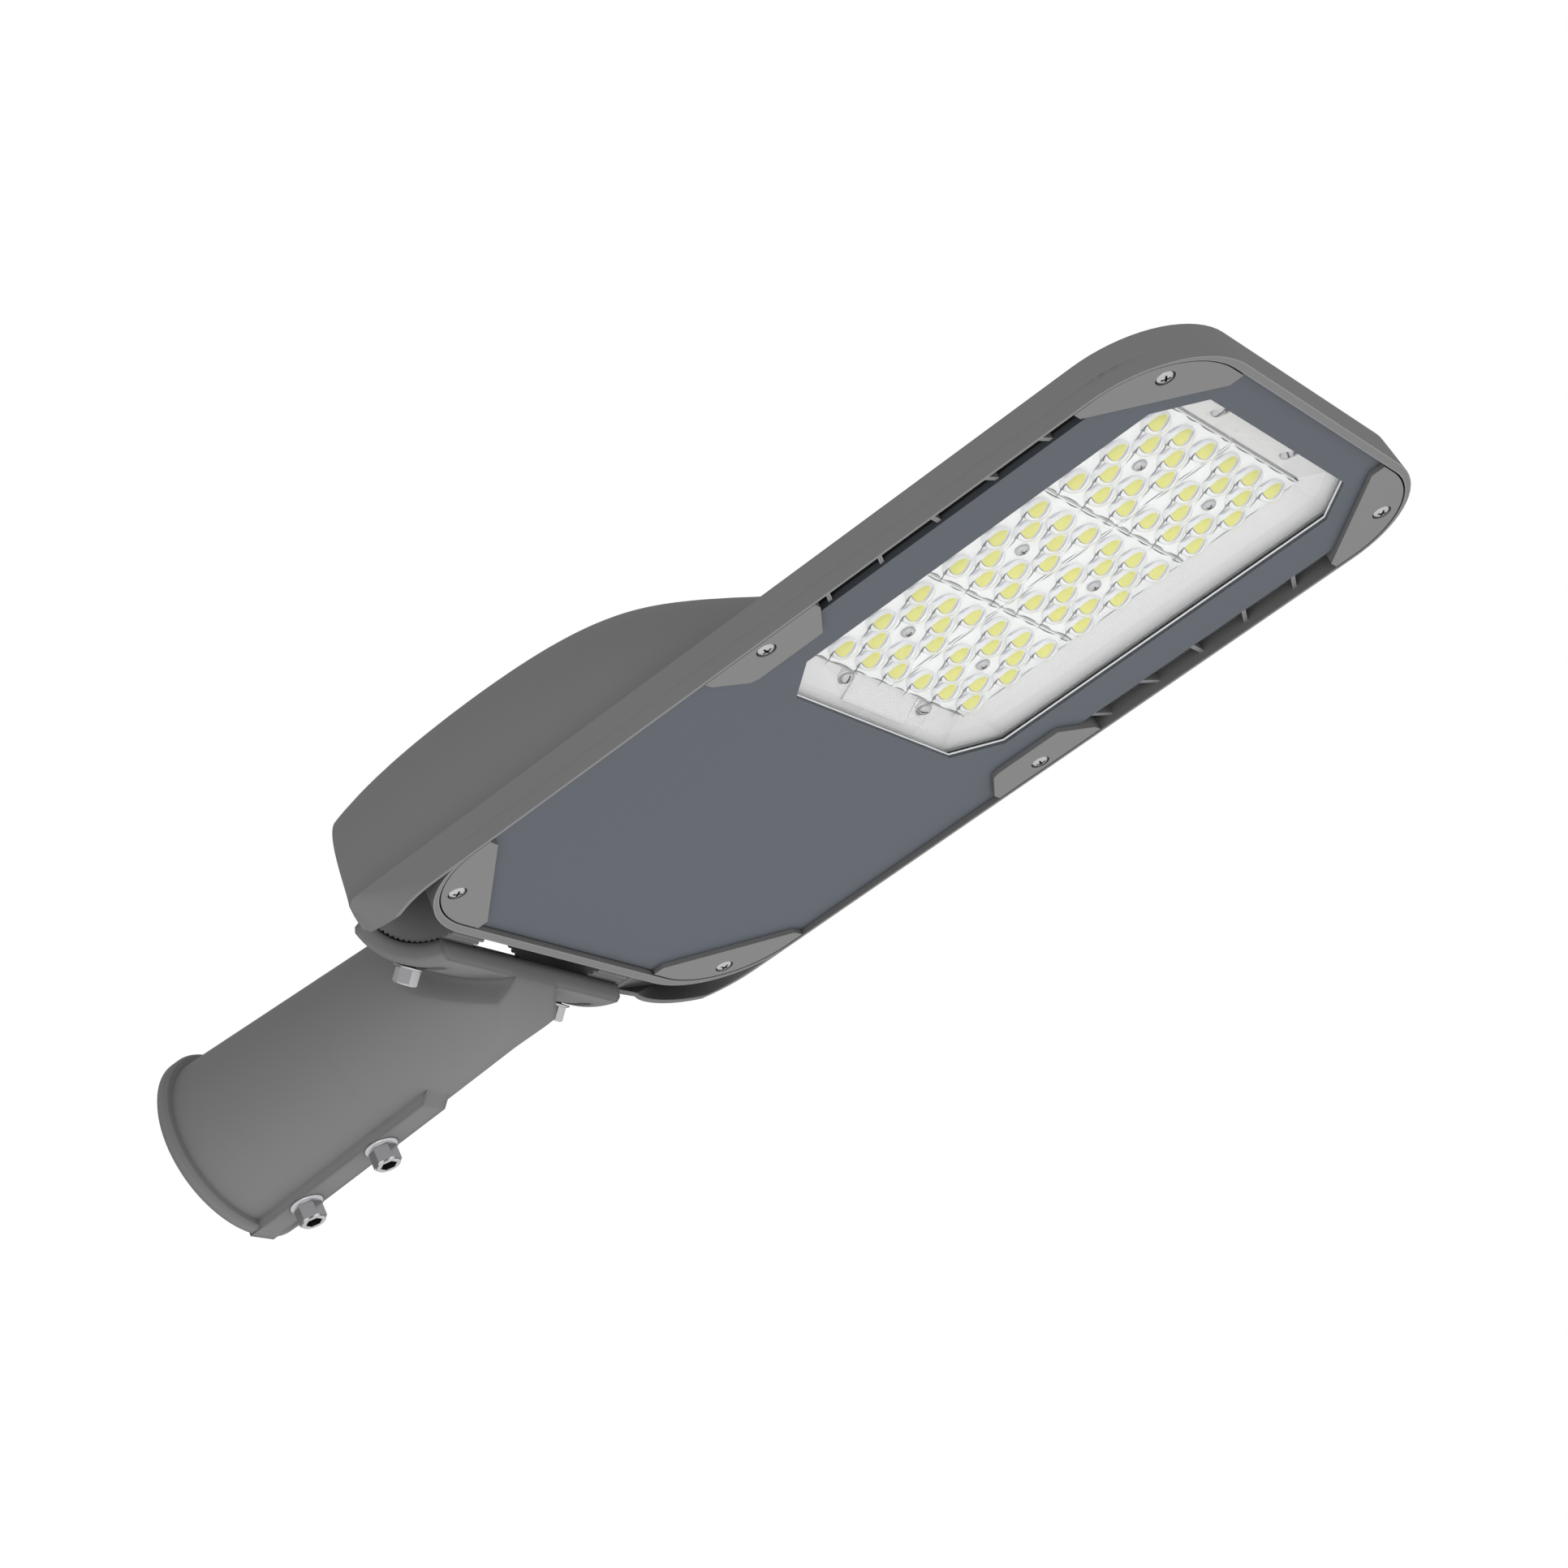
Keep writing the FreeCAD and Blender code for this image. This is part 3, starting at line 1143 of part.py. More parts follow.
def make_terminal():
    """A three pole terminal block with a wire mouth and a screw well for each pole."""
    block = on_gear_tray(TERMINAL_SIZE, TERMINAL_FROM_NEAR, beside_driver_y())
    near = gear_tray_near() + TERMINAL_FROM_NEAR
    mid_x = near + TERMINAL_SIZE[0] / 2
    pitch = TERMINAL_SIZE[1] / TERMINAL_POLES
    mouth_z = GEAR_TRAY_Z + GEAR_TRAY_T + TERMINAL_SIZE[2] * 0.4
    top = GEAR_TRAY_Z + GEAR_TRAY_T + TERMINAL_SIZE[2]
    holes = []
    for k in range(TERMINAL_POLES):
        y = beside_driver_y() + (k + 0.5) * pitch
        holes.append(box(near - 1, near + 8, y - 3, y + 3, mouth_z - 3, mouth_z + 3))
        holes.append(box(mid_x - 2.5, mid_x + 2.5, y - 2.5, y + 2.5, top - 5, top + 1))
    return block.cut(holes)


def make_gland():
    """The gland in the end wall that the supply cord would pass."""
    back = V(-1, 0, 0)
    outside = V(END_WALL_X - SEAT_GAP, GLAND_Y, GLAND_Z)
    body = hexagon(GLAND_HEX_AF, back, outside, 4.0)
    cap = Part.makeCylinder(GLAND_D / 2 - 1.0, GLAND_LEN - 4.0, outside + back * 4.0, back)
    thread = Part.makeCylinder(GLAND_D / 2 - 0.2, END_WALL_T + 9.0, outside, V(1, 0, 0))
    gland = joined([body, cap, thread])
    return gland.cut(Part.makeCylinder(GLAND_BORE / 2, 60, outside + V(30, 0, 0), back))


def make_gland_nut():
    inside = V(POCKET_NEAR_X + SEAT_GAP, GLAND_Y, GLAND_Z)
    nut = hexagon(GLAND_HEX_AF + 2.0, V(1, 0, 0), inside, 4.0)
    return nut.cut(Part.makeCylinder(GLAND_D / 2, 20, inside - V(5, 0, 0), V(1, 0, 0)))


def make_breather():
    """The membrane vent that lets the closed head breathe."""
    back = V(-1, 0, 0)
    outside = V(END_WALL_X - SEAT_GAP, VENT_Y, GLAND_Z)
    cap = Part.makeCylinder(VENT_D / 2 + 2.0, 4.5, outside, back)
    stem = Part.makeCylinder(VENT_D / 2 - 0.2, END_WALL_T + 3.0, outside, V(1, 0, 0))
    return joined([cap, stem])


def main():
    os.makedirs("parts", exist_ok=True)
    save("spigot", make_spigot())
    save("pole_clamp_bolts", make_clamp_bolts())
    save("tilt_bolts", make_tilt_bolts())
    save("housing", make_housing())
    save("cover_plate", make_cover())
    save("window_glass", make_glass())
    save("window_gasket", make_window_gasket())
    save("cover_gasket", make_cover_gasket())
    make_pads()
    save("clamp_pad_screws", make_pad_screws())
    save("led_board", make_board())
    save("led_chips", make_chips())
    for number, (x, y) in enumerate(module_centres(), start=1):
        save("lens_array_" + str(number), make_lens(x, y))
    save("lens_screws", make_module_screws())
    save("reflector_tray", make_tray())
    save("reflector_screws", make_tray_screws())
    save("gear_tray", make_gear_tray())
    save("gear_tray_screws", make_gear_screws())
    save("led_driver", make_driver())
    save("surge_protector", make_surge())
    save("terminal_block", make_terminal())
    save("cable_gland", make_gland())
    save("cable_gland_nut", make_gland_nut())
    save("breather_vent", make_breather())


main()
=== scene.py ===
import math

import bmesh
import bpy
import numpy as np
from mathutils import Matrix, Vector


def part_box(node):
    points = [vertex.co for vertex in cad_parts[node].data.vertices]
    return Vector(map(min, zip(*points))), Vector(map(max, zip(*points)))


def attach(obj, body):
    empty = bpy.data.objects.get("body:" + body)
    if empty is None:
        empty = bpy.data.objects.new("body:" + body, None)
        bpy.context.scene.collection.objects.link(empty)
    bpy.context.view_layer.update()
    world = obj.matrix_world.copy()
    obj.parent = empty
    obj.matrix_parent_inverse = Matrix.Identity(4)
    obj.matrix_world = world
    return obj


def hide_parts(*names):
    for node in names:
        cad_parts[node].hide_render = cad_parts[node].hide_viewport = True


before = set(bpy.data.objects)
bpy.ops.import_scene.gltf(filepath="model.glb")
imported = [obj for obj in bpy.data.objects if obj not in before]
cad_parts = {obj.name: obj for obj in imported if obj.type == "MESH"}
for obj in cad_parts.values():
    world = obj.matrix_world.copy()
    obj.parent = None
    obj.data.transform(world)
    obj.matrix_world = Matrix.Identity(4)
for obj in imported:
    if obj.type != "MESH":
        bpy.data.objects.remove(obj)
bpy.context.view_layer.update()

# The street light head hangs level, with its pole socket's mouth at the origin and its
# light leaving downwards. Lengths are metres, but the lines drawn on the lens plates are in
# millimetres from the middle of an optic or of a plate.

MM = 0.001
HEAD = "light_head"
SPIGOT = "pole_spigot"
LENS_PLATES = 6

# Colours, as a screen shows them
HOUSING_GREY = (0.485, 0.485, 0.486)
SPIGOT_GREY = (0.478, 0.478, 0.477)
PAD_GREY = (0.500, 0.500, 0.498)
# The lighter grey of the painted highlight on rims that face downwards
RIM_HIGHLIGHT_GREY = (0.74, 0.74, 0.735)
SLATE = (0.352, 0.372, 0.400)
TRAY_WHITE = (0.87, 0.87, 0.87)
LENS_WHITE = (0.955, 0.96, 0.96)
# Painted shade drawn on the optics: dark lines and a pale grey
LENS_DARK_SHADE = (0.30, 0.30, 0.32)
LENS_PALE_SHADE = (0.80, 0.80, 0.84)
BOARD_WHITE = (0.96, 0.96, 0.95)
CHIP_YELLOW = (0.88, 0.875, 0.46)
CHIP_FRAME = (0.93, 0.92, 0.86)
# A real seal, coloured white as a painted highlight along the window pane's edge
SEAL_HIGHLIGHT_WHITE = (0.95, 0.955, 0.96)
ZINC = (0.76, 0.76, 0.77)
SHEET_ZINC = (0.70, 0.71, 0.72)
# Near black painted shade in the screws' drive recesses and the bolts' sockets
DRIVE_RECESS_SHADE = (0.09, 0.09, 0.09)
RUBBER_BLACK = (0.10, 0.10, 0.10)
GLAND_BLACK = (0.13, 0.13, 0.135)
DRIVER_WHITE = (0.88, 0.88, 0.86)
SURGE_DARK = (0.20, 0.20, 0.21)
TERMINAL_CREAM = (0.90, 0.90, 0.86)
GLASS_TINT = (0.97, 0.99, 0.98, 1.0)
GROUP_GREY = (0.5, 0.5, 0.5, 1.0)

# Powder coat on the castings
COAT_SHINE = 0.22
COAT_DRIFT = 0.07
COAT_GRAIN = 1100.0
COAT_PEEL = 0.25
COAT_PEEL_DEPTH = 0.05 * MM
# Painted shade in hollows: how far a hollow looks for walls round it, and the share of open sky from darkest
# painted shade to full tone
HOLLOW_REACH = 45 * MM
HOLLOW_SKY = (0.15, 0.75)
# Where the rounded normal leaves the flat one, and which faces point down, for the painted highlight on the
# rims
EDGE_TURN = (0.995, 0.88)
FACING_DOWN = (-0.85, -0.95)
GLASS_HAZE = (0.05, 0.08)

# Screw heads, as shares of the head's radius and height
SCREW_SEGMENTS = 40
CROWN_STEPS = 7
CROWN_SQUARENESS = 0.8
CROWN_RISE = 0.8
DRIVE_REACH = 0.62
DRIVE_WIDTH = 0.26
DRIVE_DEPTH = 0.55
DRIVE_TAPER = 0.6
SLOT_REACH = 1.8
SCREW_TURN = (0.5, 1.3)

# Bolt heads
BOLT_SEGMENTS = 48
FLANGE_T = 1.2 * MM
HEX_CHAMFER = 0.07
HEX_CROWN = 0.97
SOCKET_ACROSS = 0.6
SOCKET_DEPTH = 0.6

# Reading a screw's solid: how near two points are one, and how much of its length is an end
SAME_POINT = 0.01 * MM
SCREW_END = 0.3 * MM

# Lens plates and the optics on them
PLATE_CORNER = 1.2 * MM
PLATE_EDGE = 0.3 * MM
CORNER_STEPS = 4
OPTIC_HALF_X = 5.2 * MM
OPTIC_HALF_Y = 6.4 * MM
OPTIC_RISE = 3.9 * MM
OPTIC_RINGS = 9
OPTIC_SEGMENTS = 36
# The places of a lens plate's four finishes in its list of materials: its skin, the chip's image, and the
# pale and the dark painted shade
SKIN, IMAGE, PALE_SHADE, DARK_SHADE = range(4)
# The chip's image in an optic: a curved flank between two corners, then two straight sides
PETAL_FLANK = ((-1.4, -5.15), (0.1, -5.42), (1.5, -5.35), (2.7, -4.8), (3.7, -3.9), (4.4, -2.7), (4.8, -1.3))
PETAL_SIDES = ((3.4, -1.35), (1.15, -1.3), (-1.0, -1.15), (-1.6, -1.9), (-1.65, -3.5))
PETAL_LAYERS = 5
PETAL_PROUD = 0.10 * MM
# Painted shade drawn on an optic, as points with a half width: the pale strip above the image, its thin
# outline, the dark short side, and the flank's edge that runs out over the plate
PALE_STRIP = ((-1.1, -0.75, 0.2), (0.6, -0.6, 0.5), (2.4, -0.6, 0.6), (3.9, -0.6, 0.5), (4.9, 0.1, 0.1))
STRIP_LINE = ((-1.3, 0.3, 0.05), (0.4, 0.1, 0.13), (2.4, 0.0, 0.16), (3.9, 0.0, 0.14), (4.9, 0.3, 0.06))
SHORT_SIDE = ((-0.9, -0.95, 0.05), (-1.55, -1.7, 0.2), (-1.75, -3.4, 0.22), (-1.5, -5.1, 0.1))
TAIL = (
    (-1.5, -5.1, 0.08), (-2.6, -4.45, 0.16), (-3.6, -3.5, 0.2), (-4.6, -1.9, 0.22),
    (-6.0, 0.4, 0.26), (-7.6, 1.5, 0.24), (-9.2, 2.1, 0.15), (-10.2, 2.5, 0.05),
)
FLANK_SHADE = (
    (-2.6, -6.1, 0.05), (-0.3, -6.4, 0.12), (2.0, -6.0, 0.14), (4.2, -4.4, 0.14), (5.5, -2.4, 0.06),
)
# Strokes of painted dark shade along the edges of each lens plate, as shares of the edge they start and end
# at
EDGE_STROKES = ((0.02, 0.27), (0.33, 0.5), (0.53, 0.78), (0.84, 0.98))
STROKE_IN = 0.45
STROKE_BOW = 0.3
STROKE_HALF_W = 0.24
STROKE_END_W = 0.02
STROKE_STEPS = 4
LINE_PROUD = 0.06 * MM
LINE_STEPS = 5
LINE_LEAST_W = 0.01 * MM

# The pane's hidden margin, the opening's cut corners, and the white seal beads against the pane, whose white
# is a painted highlight along the pane's edge: how far each bead reaches outwards from the opening, and its
# height on the pane
PANE_MARGIN = 4.6 * MM
OPENING_CORNER = 15.6 * MM
FRONT_BEAD = (-0.3 * MM, 0.97 * MM, 0.55 * MM)
BACK_BEAD = (1.4 * MM, 4.3 * MM, 0.22 * MM)
BEAD_GAP = 0.02 * MM

# Camera
CAMERA_AT = (0.75376, -1.06026, -0.57198)
CAMERA_RIGHT = (0.75686762, 0.5392365, -0.36929041)
CAMERA_UP = (0.53727584, -0.19162302, 0.82134968)
CAMERA_BACK = (0.37213719, -0.82006379, -0.434752)
CAMERA_LENS = 84.6
CAMERA_SENSOR = 36.0
CAMERA_CLIP = (0.05, 100.0)

# Soft light by height in the sky, from straight below to straight above
SKY_LEVELS = ((0.0, 1.05), (0.33, 0.98), (0.5, 0.79), (0.64, 0.53), (1.0, 0.6))
# What bright metal mirrors, with a dark band near the horizon
MIRROR_LEVELS = ((0.0, 1.0), (0.30, 0.95), (0.42, 0.25), (0.52, 0.12), (0.60, 0.5), (1.0, 0.4))
# A ramp's colours stop at 1, so they hold half the level and the light is twice as strong
SKY_STRENGTH = 2.0
LAMP_AT = (0.9, -1.2, -1.4)
LAMP_AIMS_AT = (0.28, 0.0, 0.0)
LAMP_SIZE = 1.2
LAMP_POWER = 2.5


# Shader nodes


def linear(colour):
    """A screen colour as the linear colour a shader takes."""
    return tuple(c / 12.92 if c <= 0.04045 else ((c + 0.055) / 1.055) ** 2.4 for c in colour) + (1.0,)


def wire(tree, value, socket):
    """Give a socket a plain value, or link it to another node's output."""
    if isinstance(value, bpy.types.NodeSocket):
        tree.links.new(value, socket)
    else:
        socket.default_value = value


def add_node(tree, kind, values):
    """A node of that kind, with the inputs that are named or numbered in values."""
    node = tree.nodes.new(kind)
    for label, value in values.items():
        wire(tree, value, node.inputs[label])
    return node


def add_math(tree, operation, *terms):
    """The result of a sum whose terms are numbers or other nodes' outputs."""
    node = add_node(tree, "ShaderNodeMath", dict(enumerate(terms)))
    node.operation = operation
    return node.outputs[0]


def add_scale(tree, colour, factor):
    """The colour made lighter or darker by a factor."""
    node = tree.nodes.new("ShaderNodeVectorMath")
    node.operation = "SCALE"
    wire(tree, colour, node.inputs[0])
    wire(tree, factor, node.inputs["Scale"])
    return node.outputs[0]


def add_range(tree, value, given, wanted=(0.0, 1.0)):
    """The value carried over from one range to another, and held inside it."""
    node = add_node(tree, "ShaderNodeMapRange", {
        "Value": value, "From Min": given[0], "From Max": given[1], "To Min": wanted[0], "To Max": wanted[1],
    })
    return node.outputs[0]


def add_noise(tree, scale, detail=2.0):
    """Noise that stays on the piece as it moves."""
    place = add_node(tree, "ShaderNodeTexCoord", {})
    noise = add_node(tree, "ShaderNodeTexNoise", {
        "Vector": place.outputs["Object"], "Scale": scale, "Detail": detail,
    })
    return noise.outputs["Fac"]


def new_group(name, inputs, outputs):
    """A shader group with named number, colour or normal sockets."""
    group = bpy.data.node_groups.new(name, "ShaderNodeTree")
    for label, kind, value in inputs:
        socket = group.interface.new_socket(label, in_out="INPUT", socket_type=kind)
        socket.default_value = value
    for label, kind in outputs:
        group.interface.new_socket(label, in_out="OUTPUT", socket_type=kind)
    return group, group.nodes.new("NodeGroupInput").outputs, group.nodes.new("NodeGroupOutput").inputs


def coat_grain():
    """Fine orange peel of sprayed powder, and a slow drift of tone under it."""
    group, given, made = new_group(
        "coat_grain",
        [
            ("Color", "NodeSocketColor", GROUP_GREY),
            ("Drift", "NodeSocketFloat", 0.04),
            ("Roughness", "NodeSocketFloat", 0.5),
            ("Grain Scale", "NodeSocketFloat", 900.0),
        ],
        [("Color", "NodeSocketColor"), ("Roughness", "NodeSocketFloat"), ("Height", "NodeSocketFloat")],
    )
    fine = add_noise(group, given["Grain Scale"])
    slow = add_noise(group, 14.0, 3.0)
    centred = add_math(group, "SUBTRACT", slow, 0.5)
    gain = add_math(group, "MULTIPLY_ADD", centred, given["Drift"], 1.0)
    wire(group, add_scale(group, given["Color"], gain), made["Color"])
    wire(group, add_math(group, "MULTIPLY_ADD", centred, 0.12, given["Roughness"]), made["Roughness"])
    wire(group, fine, made["Height"])
    return group


def edge_round_highlight():
    """Rounds the casting's edges, and paints a highlight on the narrow rims that face downwards."""
    group, given, made = new_group(
        "edge_round_highlight",
        [
            ("Color", "NodeSocketColor", GROUP_GREY),
            ("Edge Color", "NodeSocketColor", (0.8, 0.8, 0.8, 1.0)),
            ("Strength", "NodeSocketFloat", 0.5),
            ("Radius", "NodeSocketFloat", 0.5 * MM),
        ],
        [("Color", "NodeSocketColor"), ("Normal", "NodeSocketVector")],
    )
    bevel = add_node(group, "ShaderNodeBevel", {"Radius": given["Radius"]})
    bevel.samples = 8
    face = add_node(group, "ShaderNodeNewGeometry", {})
    turn = group.nodes.new("ShaderNodeVectorMath")
    turn.operation = "DOT_PRODUCT"
    wire(group, bevel.outputs[0], turn.inputs[0])
    wire(group, face.outputs["Normal"], turn.inputs[1])
    split = add_node(group, "ShaderNodeSeparateXYZ", {0: face.outputs["Normal"]})
    edge = add_range(group, turn.outputs["Value"], EDGE_TURN)
    down = add_range(group, split.outputs["Z"], FACING_DOWN)
    # Painted highlight: a lighter colour on the rounded edges of faces that point down
    share = add_math(group, "MULTIPLY", add_math(group, "MULTIPLY", edge, down), given["Strength"])
    mix = group.nodes.new("ShaderNodeMix")
    mix.data_type = "RGBA"
    plain, edge_lit = [socket for socket in mix.inputs if socket.type == "RGBA"]
    wire(group, share, mix.inputs["Factor"])
    wire(group, given["Color"], plain)
    wire(group, given["Edge Color"], edge_lit)
    mixed = [socket for socket in mix.outputs if socket.type == "RGBA"][0]
    wire(group, mixed, made["Color"])
    wire(group, bevel.outputs[0], made["Normal"])
    return group


# Materials


def new_material(name, roughness, metallic=0.0):
    material = bpy.data.materials.new(name)
    material.use_nodes = True
    shader = material.node_tree.nodes["Principled BSDF"]
    shader.inputs["Roughness"].default_value = roughness
    shader.inputs["Metallic"].default_value = metallic
    return material, material.node_tree, shader


def add_group(tree, group, values):
    node = tree.nodes.new("ShaderNodeGroup")
    node.node_tree = group
    for label, value in values.items():
        wire(tree, value, node.inputs[label])
    return node.outputs


def add_bump(tree, shader, height, strength, distance, normal=None):
    bump = add_node(tree, "ShaderNodeBump", {"Strength": strength, "Distance": distance, "Height": height})
    if normal is not None:
        wire(tree, normal, bump.inputs["Normal"])
    wire(tree, bump.outputs[0], shader.inputs["Normal"])


def coated_metal(name, colour, edge, groups, roughness, round_edge, rim_highlight, darkest_hollow_shade=0.4):
    """Satin powder coat on a casting, with a painted highlight along its edges that face down and painted
    shade in its hollows.
    """
    material, tree, shader = new_material(name, roughness)
    grain = add_group(tree, groups["coat_grain"], {
        "Color": linear(colour), "Drift": COAT_DRIFT, "Roughness": roughness, "Grain Scale": COAT_GRAIN,
    })
    edge_lit = add_group(tree, groups["edge_round_highlight"], {
        "Color": grain["Color"], "Edge Color": linear(edge), "Strength": rim_highlight, "Radius": round_edge,
    })
    # Painted shade: the colour darkens where walls round a point hide the open sky
    open_sky = add_node(tree, "ShaderNodeAmbientOcclusion", {"Distance": HOLLOW_REACH})
    open_sky.samples = 6
    depth = add_range(tree, open_sky.outputs["AO"], HOLLOW_SKY, (darkest_hollow_shade, 1.0))
    wire(tree, add_scale(tree, edge_lit["Color"], depth), shader.inputs["Base Color"])
    wire(tree, grain["Roughness"], shader.inputs["Roughness"])
    shader.inputs["Specular IOR Level"].default_value = COAT_SHINE
    add_bump(tree, shader, grain["Height"], COAT_PEEL, COAT_PEEL_DEPTH, edge_lit["Normal"])
    return material


def moulded(name, colour, groups, roughness=0.45, drift=0.05, scale=600.0, peel=0.2):
    """Moulded plastic or rubber with a faint mould texture."""
    material, tree, shader = new_material(name, roughness)
    grain = add_group(tree, groups["coat_grain"], {
        "Color": linear(colour), "Drift": drift, "Roughness": roughness, "Grain Scale": scale,
    })
    wire(tree, grain["Color"], shader.inputs["Base Color"])
    wire(tree, grain["Roughness"], shader.inputs["Roughness"])
    add_bump(tree, shader, grain["Height"], peel, 0.04 * MM)
    return material


def plated_steel(name, colour, groups, roughness=0.25):
    """Zinc plated steel, bright with a cloudy roughness."""
    material, tree, shader = new_material(name, roughness, metallic=1.0)
    grain = add_group(tree, groups["coat_grain"], {
        "Color": linear(colour), "Drift": 0.25, "Roughness": roughness, "Grain Scale": 2500.0,
    })
    wire(tree, grain["Color"], shader.inputs["Base Color"])
    wire(tree, grain["Roughness"], shader.inputs["Roughness"])
    add_bump(tree, shader, grain["Height"], 0.15, 0.02 * MM)
    return material


def clear_lens(groups):
    """Clear moulded optic plastic, whitened by the board behind it."""
    material = moulded("clear_lens_plastic", LENS_WHITE, groups, 0.12, drift=0.02, scale=300.0, peel=0.05)
    shader = material.node_tree.nodes["Principled BSDF"]
    shader.inputs["Coat Weight"].default_value = 0.4
    shader.inputs["Coat Roughness"].default_value = 0.05
    return material


def lit_phosphor(groups):
    """The yellow chip as each optic magnifies it."""
    material = moulded("phosphor_in_optic", CHIP_YELLOW, groups, 0.2, drift=0.12, scale=260.0, peel=0.05)
    shader = material.node_tree.nodes["Principled BSDF"]
    shader.inputs["Coat Weight"].default_value = 0.3
    return material


def pane_glass():
    """Clear glass with a faint haze."""
    material, tree, shader = new_material("window_pane_glass", 0.0)
    haze = add_range(tree, add_noise(tree, 30.0), (0.0, 1.0), GLASS_HAZE)
    wire(tree, haze, shader.inputs["Alpha"])
    shader.inputs["Base Color"].default_value = GLASS_TINT
    shader.inputs["Transmission Weight"].default_value = 1.0
    shader.inputs["IOR"].default_value = 1.45
    return material


def make_materials():
    groups = {"coat_grain": coat_grain(), "edge_round_highlight": edge_round_highlight()}
    return {
        # The castings carry a painted highlight on their down-facing rims and painted shade in their hollows
        "housing": coated_metal(
            "housing_coat", HOUSING_GREY, RIM_HIGHLIGHT_GREY, groups, roughness=0.6, round_edge=0.9 * MM, rim_highlight=0.55),
        "spigot": coated_metal(
            "spigot_coat", SPIGOT_GREY, SPIGOT_GREY, groups, roughness=0.55, round_edge=5 * MM, rim_highlight=0.0,
            darkest_hollow_shade=0.75),
        "pads": coated_metal(
            "pad_coat", PAD_GREY, RIM_HIGHLIGHT_GREY, groups, roughness=0.6, round_edge=0.3 * MM, rim_highlight=0.25),
        "slate": coated_metal(
            "slate_coat", SLATE, RIM_HIGHLIGHT_GREY, groups, roughness=0.55, round_edge=0.3 * MM, rim_highlight=0.15),
        "zinc": plated_steel("zinc_plate", ZINC, groups),
        # Painted shade inside drive recesses and hexagon sockets
        "socket": moulded("drive_recess_painted_shade", DRIVE_RECESS_SHADE, groups),
        "sheet": plated_steel("zinc_sheet", SHEET_ZINC, groups, 0.38),
        "glass": pane_glass(),
        "rubber": moulded("seal_rubber", RUBBER_BLACK, groups, 0.75),
        # The window seal's white is a painted highlight along the pane's edge
        "seal_highlight": moulded("window_seal_white_highlight", SEAL_HIGHLIGHT_WHITE, groups, 0.35),
        # The optics' painted dark and pale shade
        "lens_dark_shade": moulded("lens_painted_dark_shade", LENS_DARK_SHADE, groups, 0.3),
        "lens_pale_shade": moulded("lens_painted_pale_shade", LENS_PALE_SHADE, groups, 0.2),
        "board": moulded("board_solder_mask", BOARD_WHITE, groups, 0.35),
        "chips": moulded("chip_package", CHIP_FRAME, groups, 0.4),
        "phosphor": lit_phosphor(groups),
        "lens": clear_lens(groups),
        "tray": moulded("tray_white_gloss", TRAY_WHITE, groups, 0.28, drift=0.03, scale=300.0, peel=0.05),
        "driver": moulded("driver_case_plastic", DRIVER_WHITE, groups, 0.5),
        "surge": moulded("surge_case_plastic", SURGE_DARK, groups, 0.5),
        "terminal": moulded("terminal_plastic", TERMINAL_CREAM, groups, 0.45),
        "gland": moulded("gland_nylon", GLAND_BLACK, groups, 0.55),
    }


def finish_nodes(look):
    """Give every piece that keeps its shape its own finish."""
    finishes = {
        "spigot": "spigot",
        "housing": "housing",
        "cover_plate": "slate",
        "window_glass": "glass",
        # The window gasket takes the white of that painted highlight
        "window_gasket": "seal_highlight",
        "cover_gasket": "rubber",
        "led_board": "board",
        "led_chips": "chips",
        "reflector_tray": "tray",
        "gear_tray": "sheet",
        "led_driver": "driver",
        "surge_protector": "surge",
        "terminal_block": "terminal",
        "cable_gland": "gland",
        "cable_gland_nut": "gland",
        "breather_vent": "gland",
    }
    for node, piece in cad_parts.items():
        finish = finishes.get(node, "zinc")
        if node.startswith("clamp_pad_") and node != "clamp_pad_screws":
            finish = "pads"
        if node.startswith("lens_array_"):
            finish = "lens"
        piece.data.materials.clear()
        piece.data.materials.append(look[finish])


# Reading the frame


def node_points(node):
    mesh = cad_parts[node].data
    points = np.zeros(len(mesh.vertices) * 3)
    mesh.vertices.foreach_get("co", points)
    return points.reshape(-1, 3)


def separate_solids(node):
    """The points of each separate solid in a node that holds several alike."""
    points = node_points(node)
    keys = {}
    root = list(range(len(points)))

    def find(k):
        while root[k] != k:
            root[k] = root[root[k]]
            k = root[k]
        return k

    for k, p in enumerate(points):
        key = tuple(np.round(p / SAME_POINT).astype(int))
        root[find(k)] = find(keys.setdefault(key, k))
    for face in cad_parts[node].data.polygons:
        corners = list(face.vertices)
        for k in corners[1:]:
            root[find(k)] = find(corners[0])
    solids = {}
    for k in range(len(points)):
        solids.setdefault(find(k), []).append(k)
    return [points[members] for members in solids.values()]


def measure_screw(points):
    """Where a screw's crown is, which way its head points, and its head and shank radii."""
    single = np.unique(np.round(points / SAME_POINT), axis=0) * SAME_POINT
    middle = single.mean(0)
    sizes, axes = np.linalg.eigh(np.cov((single - middle).T))
    # The two spreads across a round piece are alike, so its axis is the odd one out.
    odd = 0 if abs(sizes[1] - sizes[2]) < abs(sizes[0] - sizes[1]) else 2
    axis = axes[:, odd]
    along = (single - middle) @ axis
    off = single - middle - np.outer(along, axis)
    centre = (off.max(0) + off.min(0)) / 2
    radii = np.linalg.norm(off - centre, axis=1)
    low = radii[along < along.min() + SCREW_END].max()
    high = radii[along > along.max() - SCREW_END].max()
    if low > high:
        axis = -axis
        along = -along
        low = high
    tip = middle + centre + axis * along.max()
    return Vector(tip), Vector(axis), float(radii.max()), float(low)


def along_and_off(points, tip, axis):
    """Each point's height along a screw's axis, and how far it stands off that axis."""
    steps = points - np.array(tip)
    line = np.array(axis)
    along = steps @ line
    return along, np.linalg.norm(steps - np.outer(along, line), axis=1)


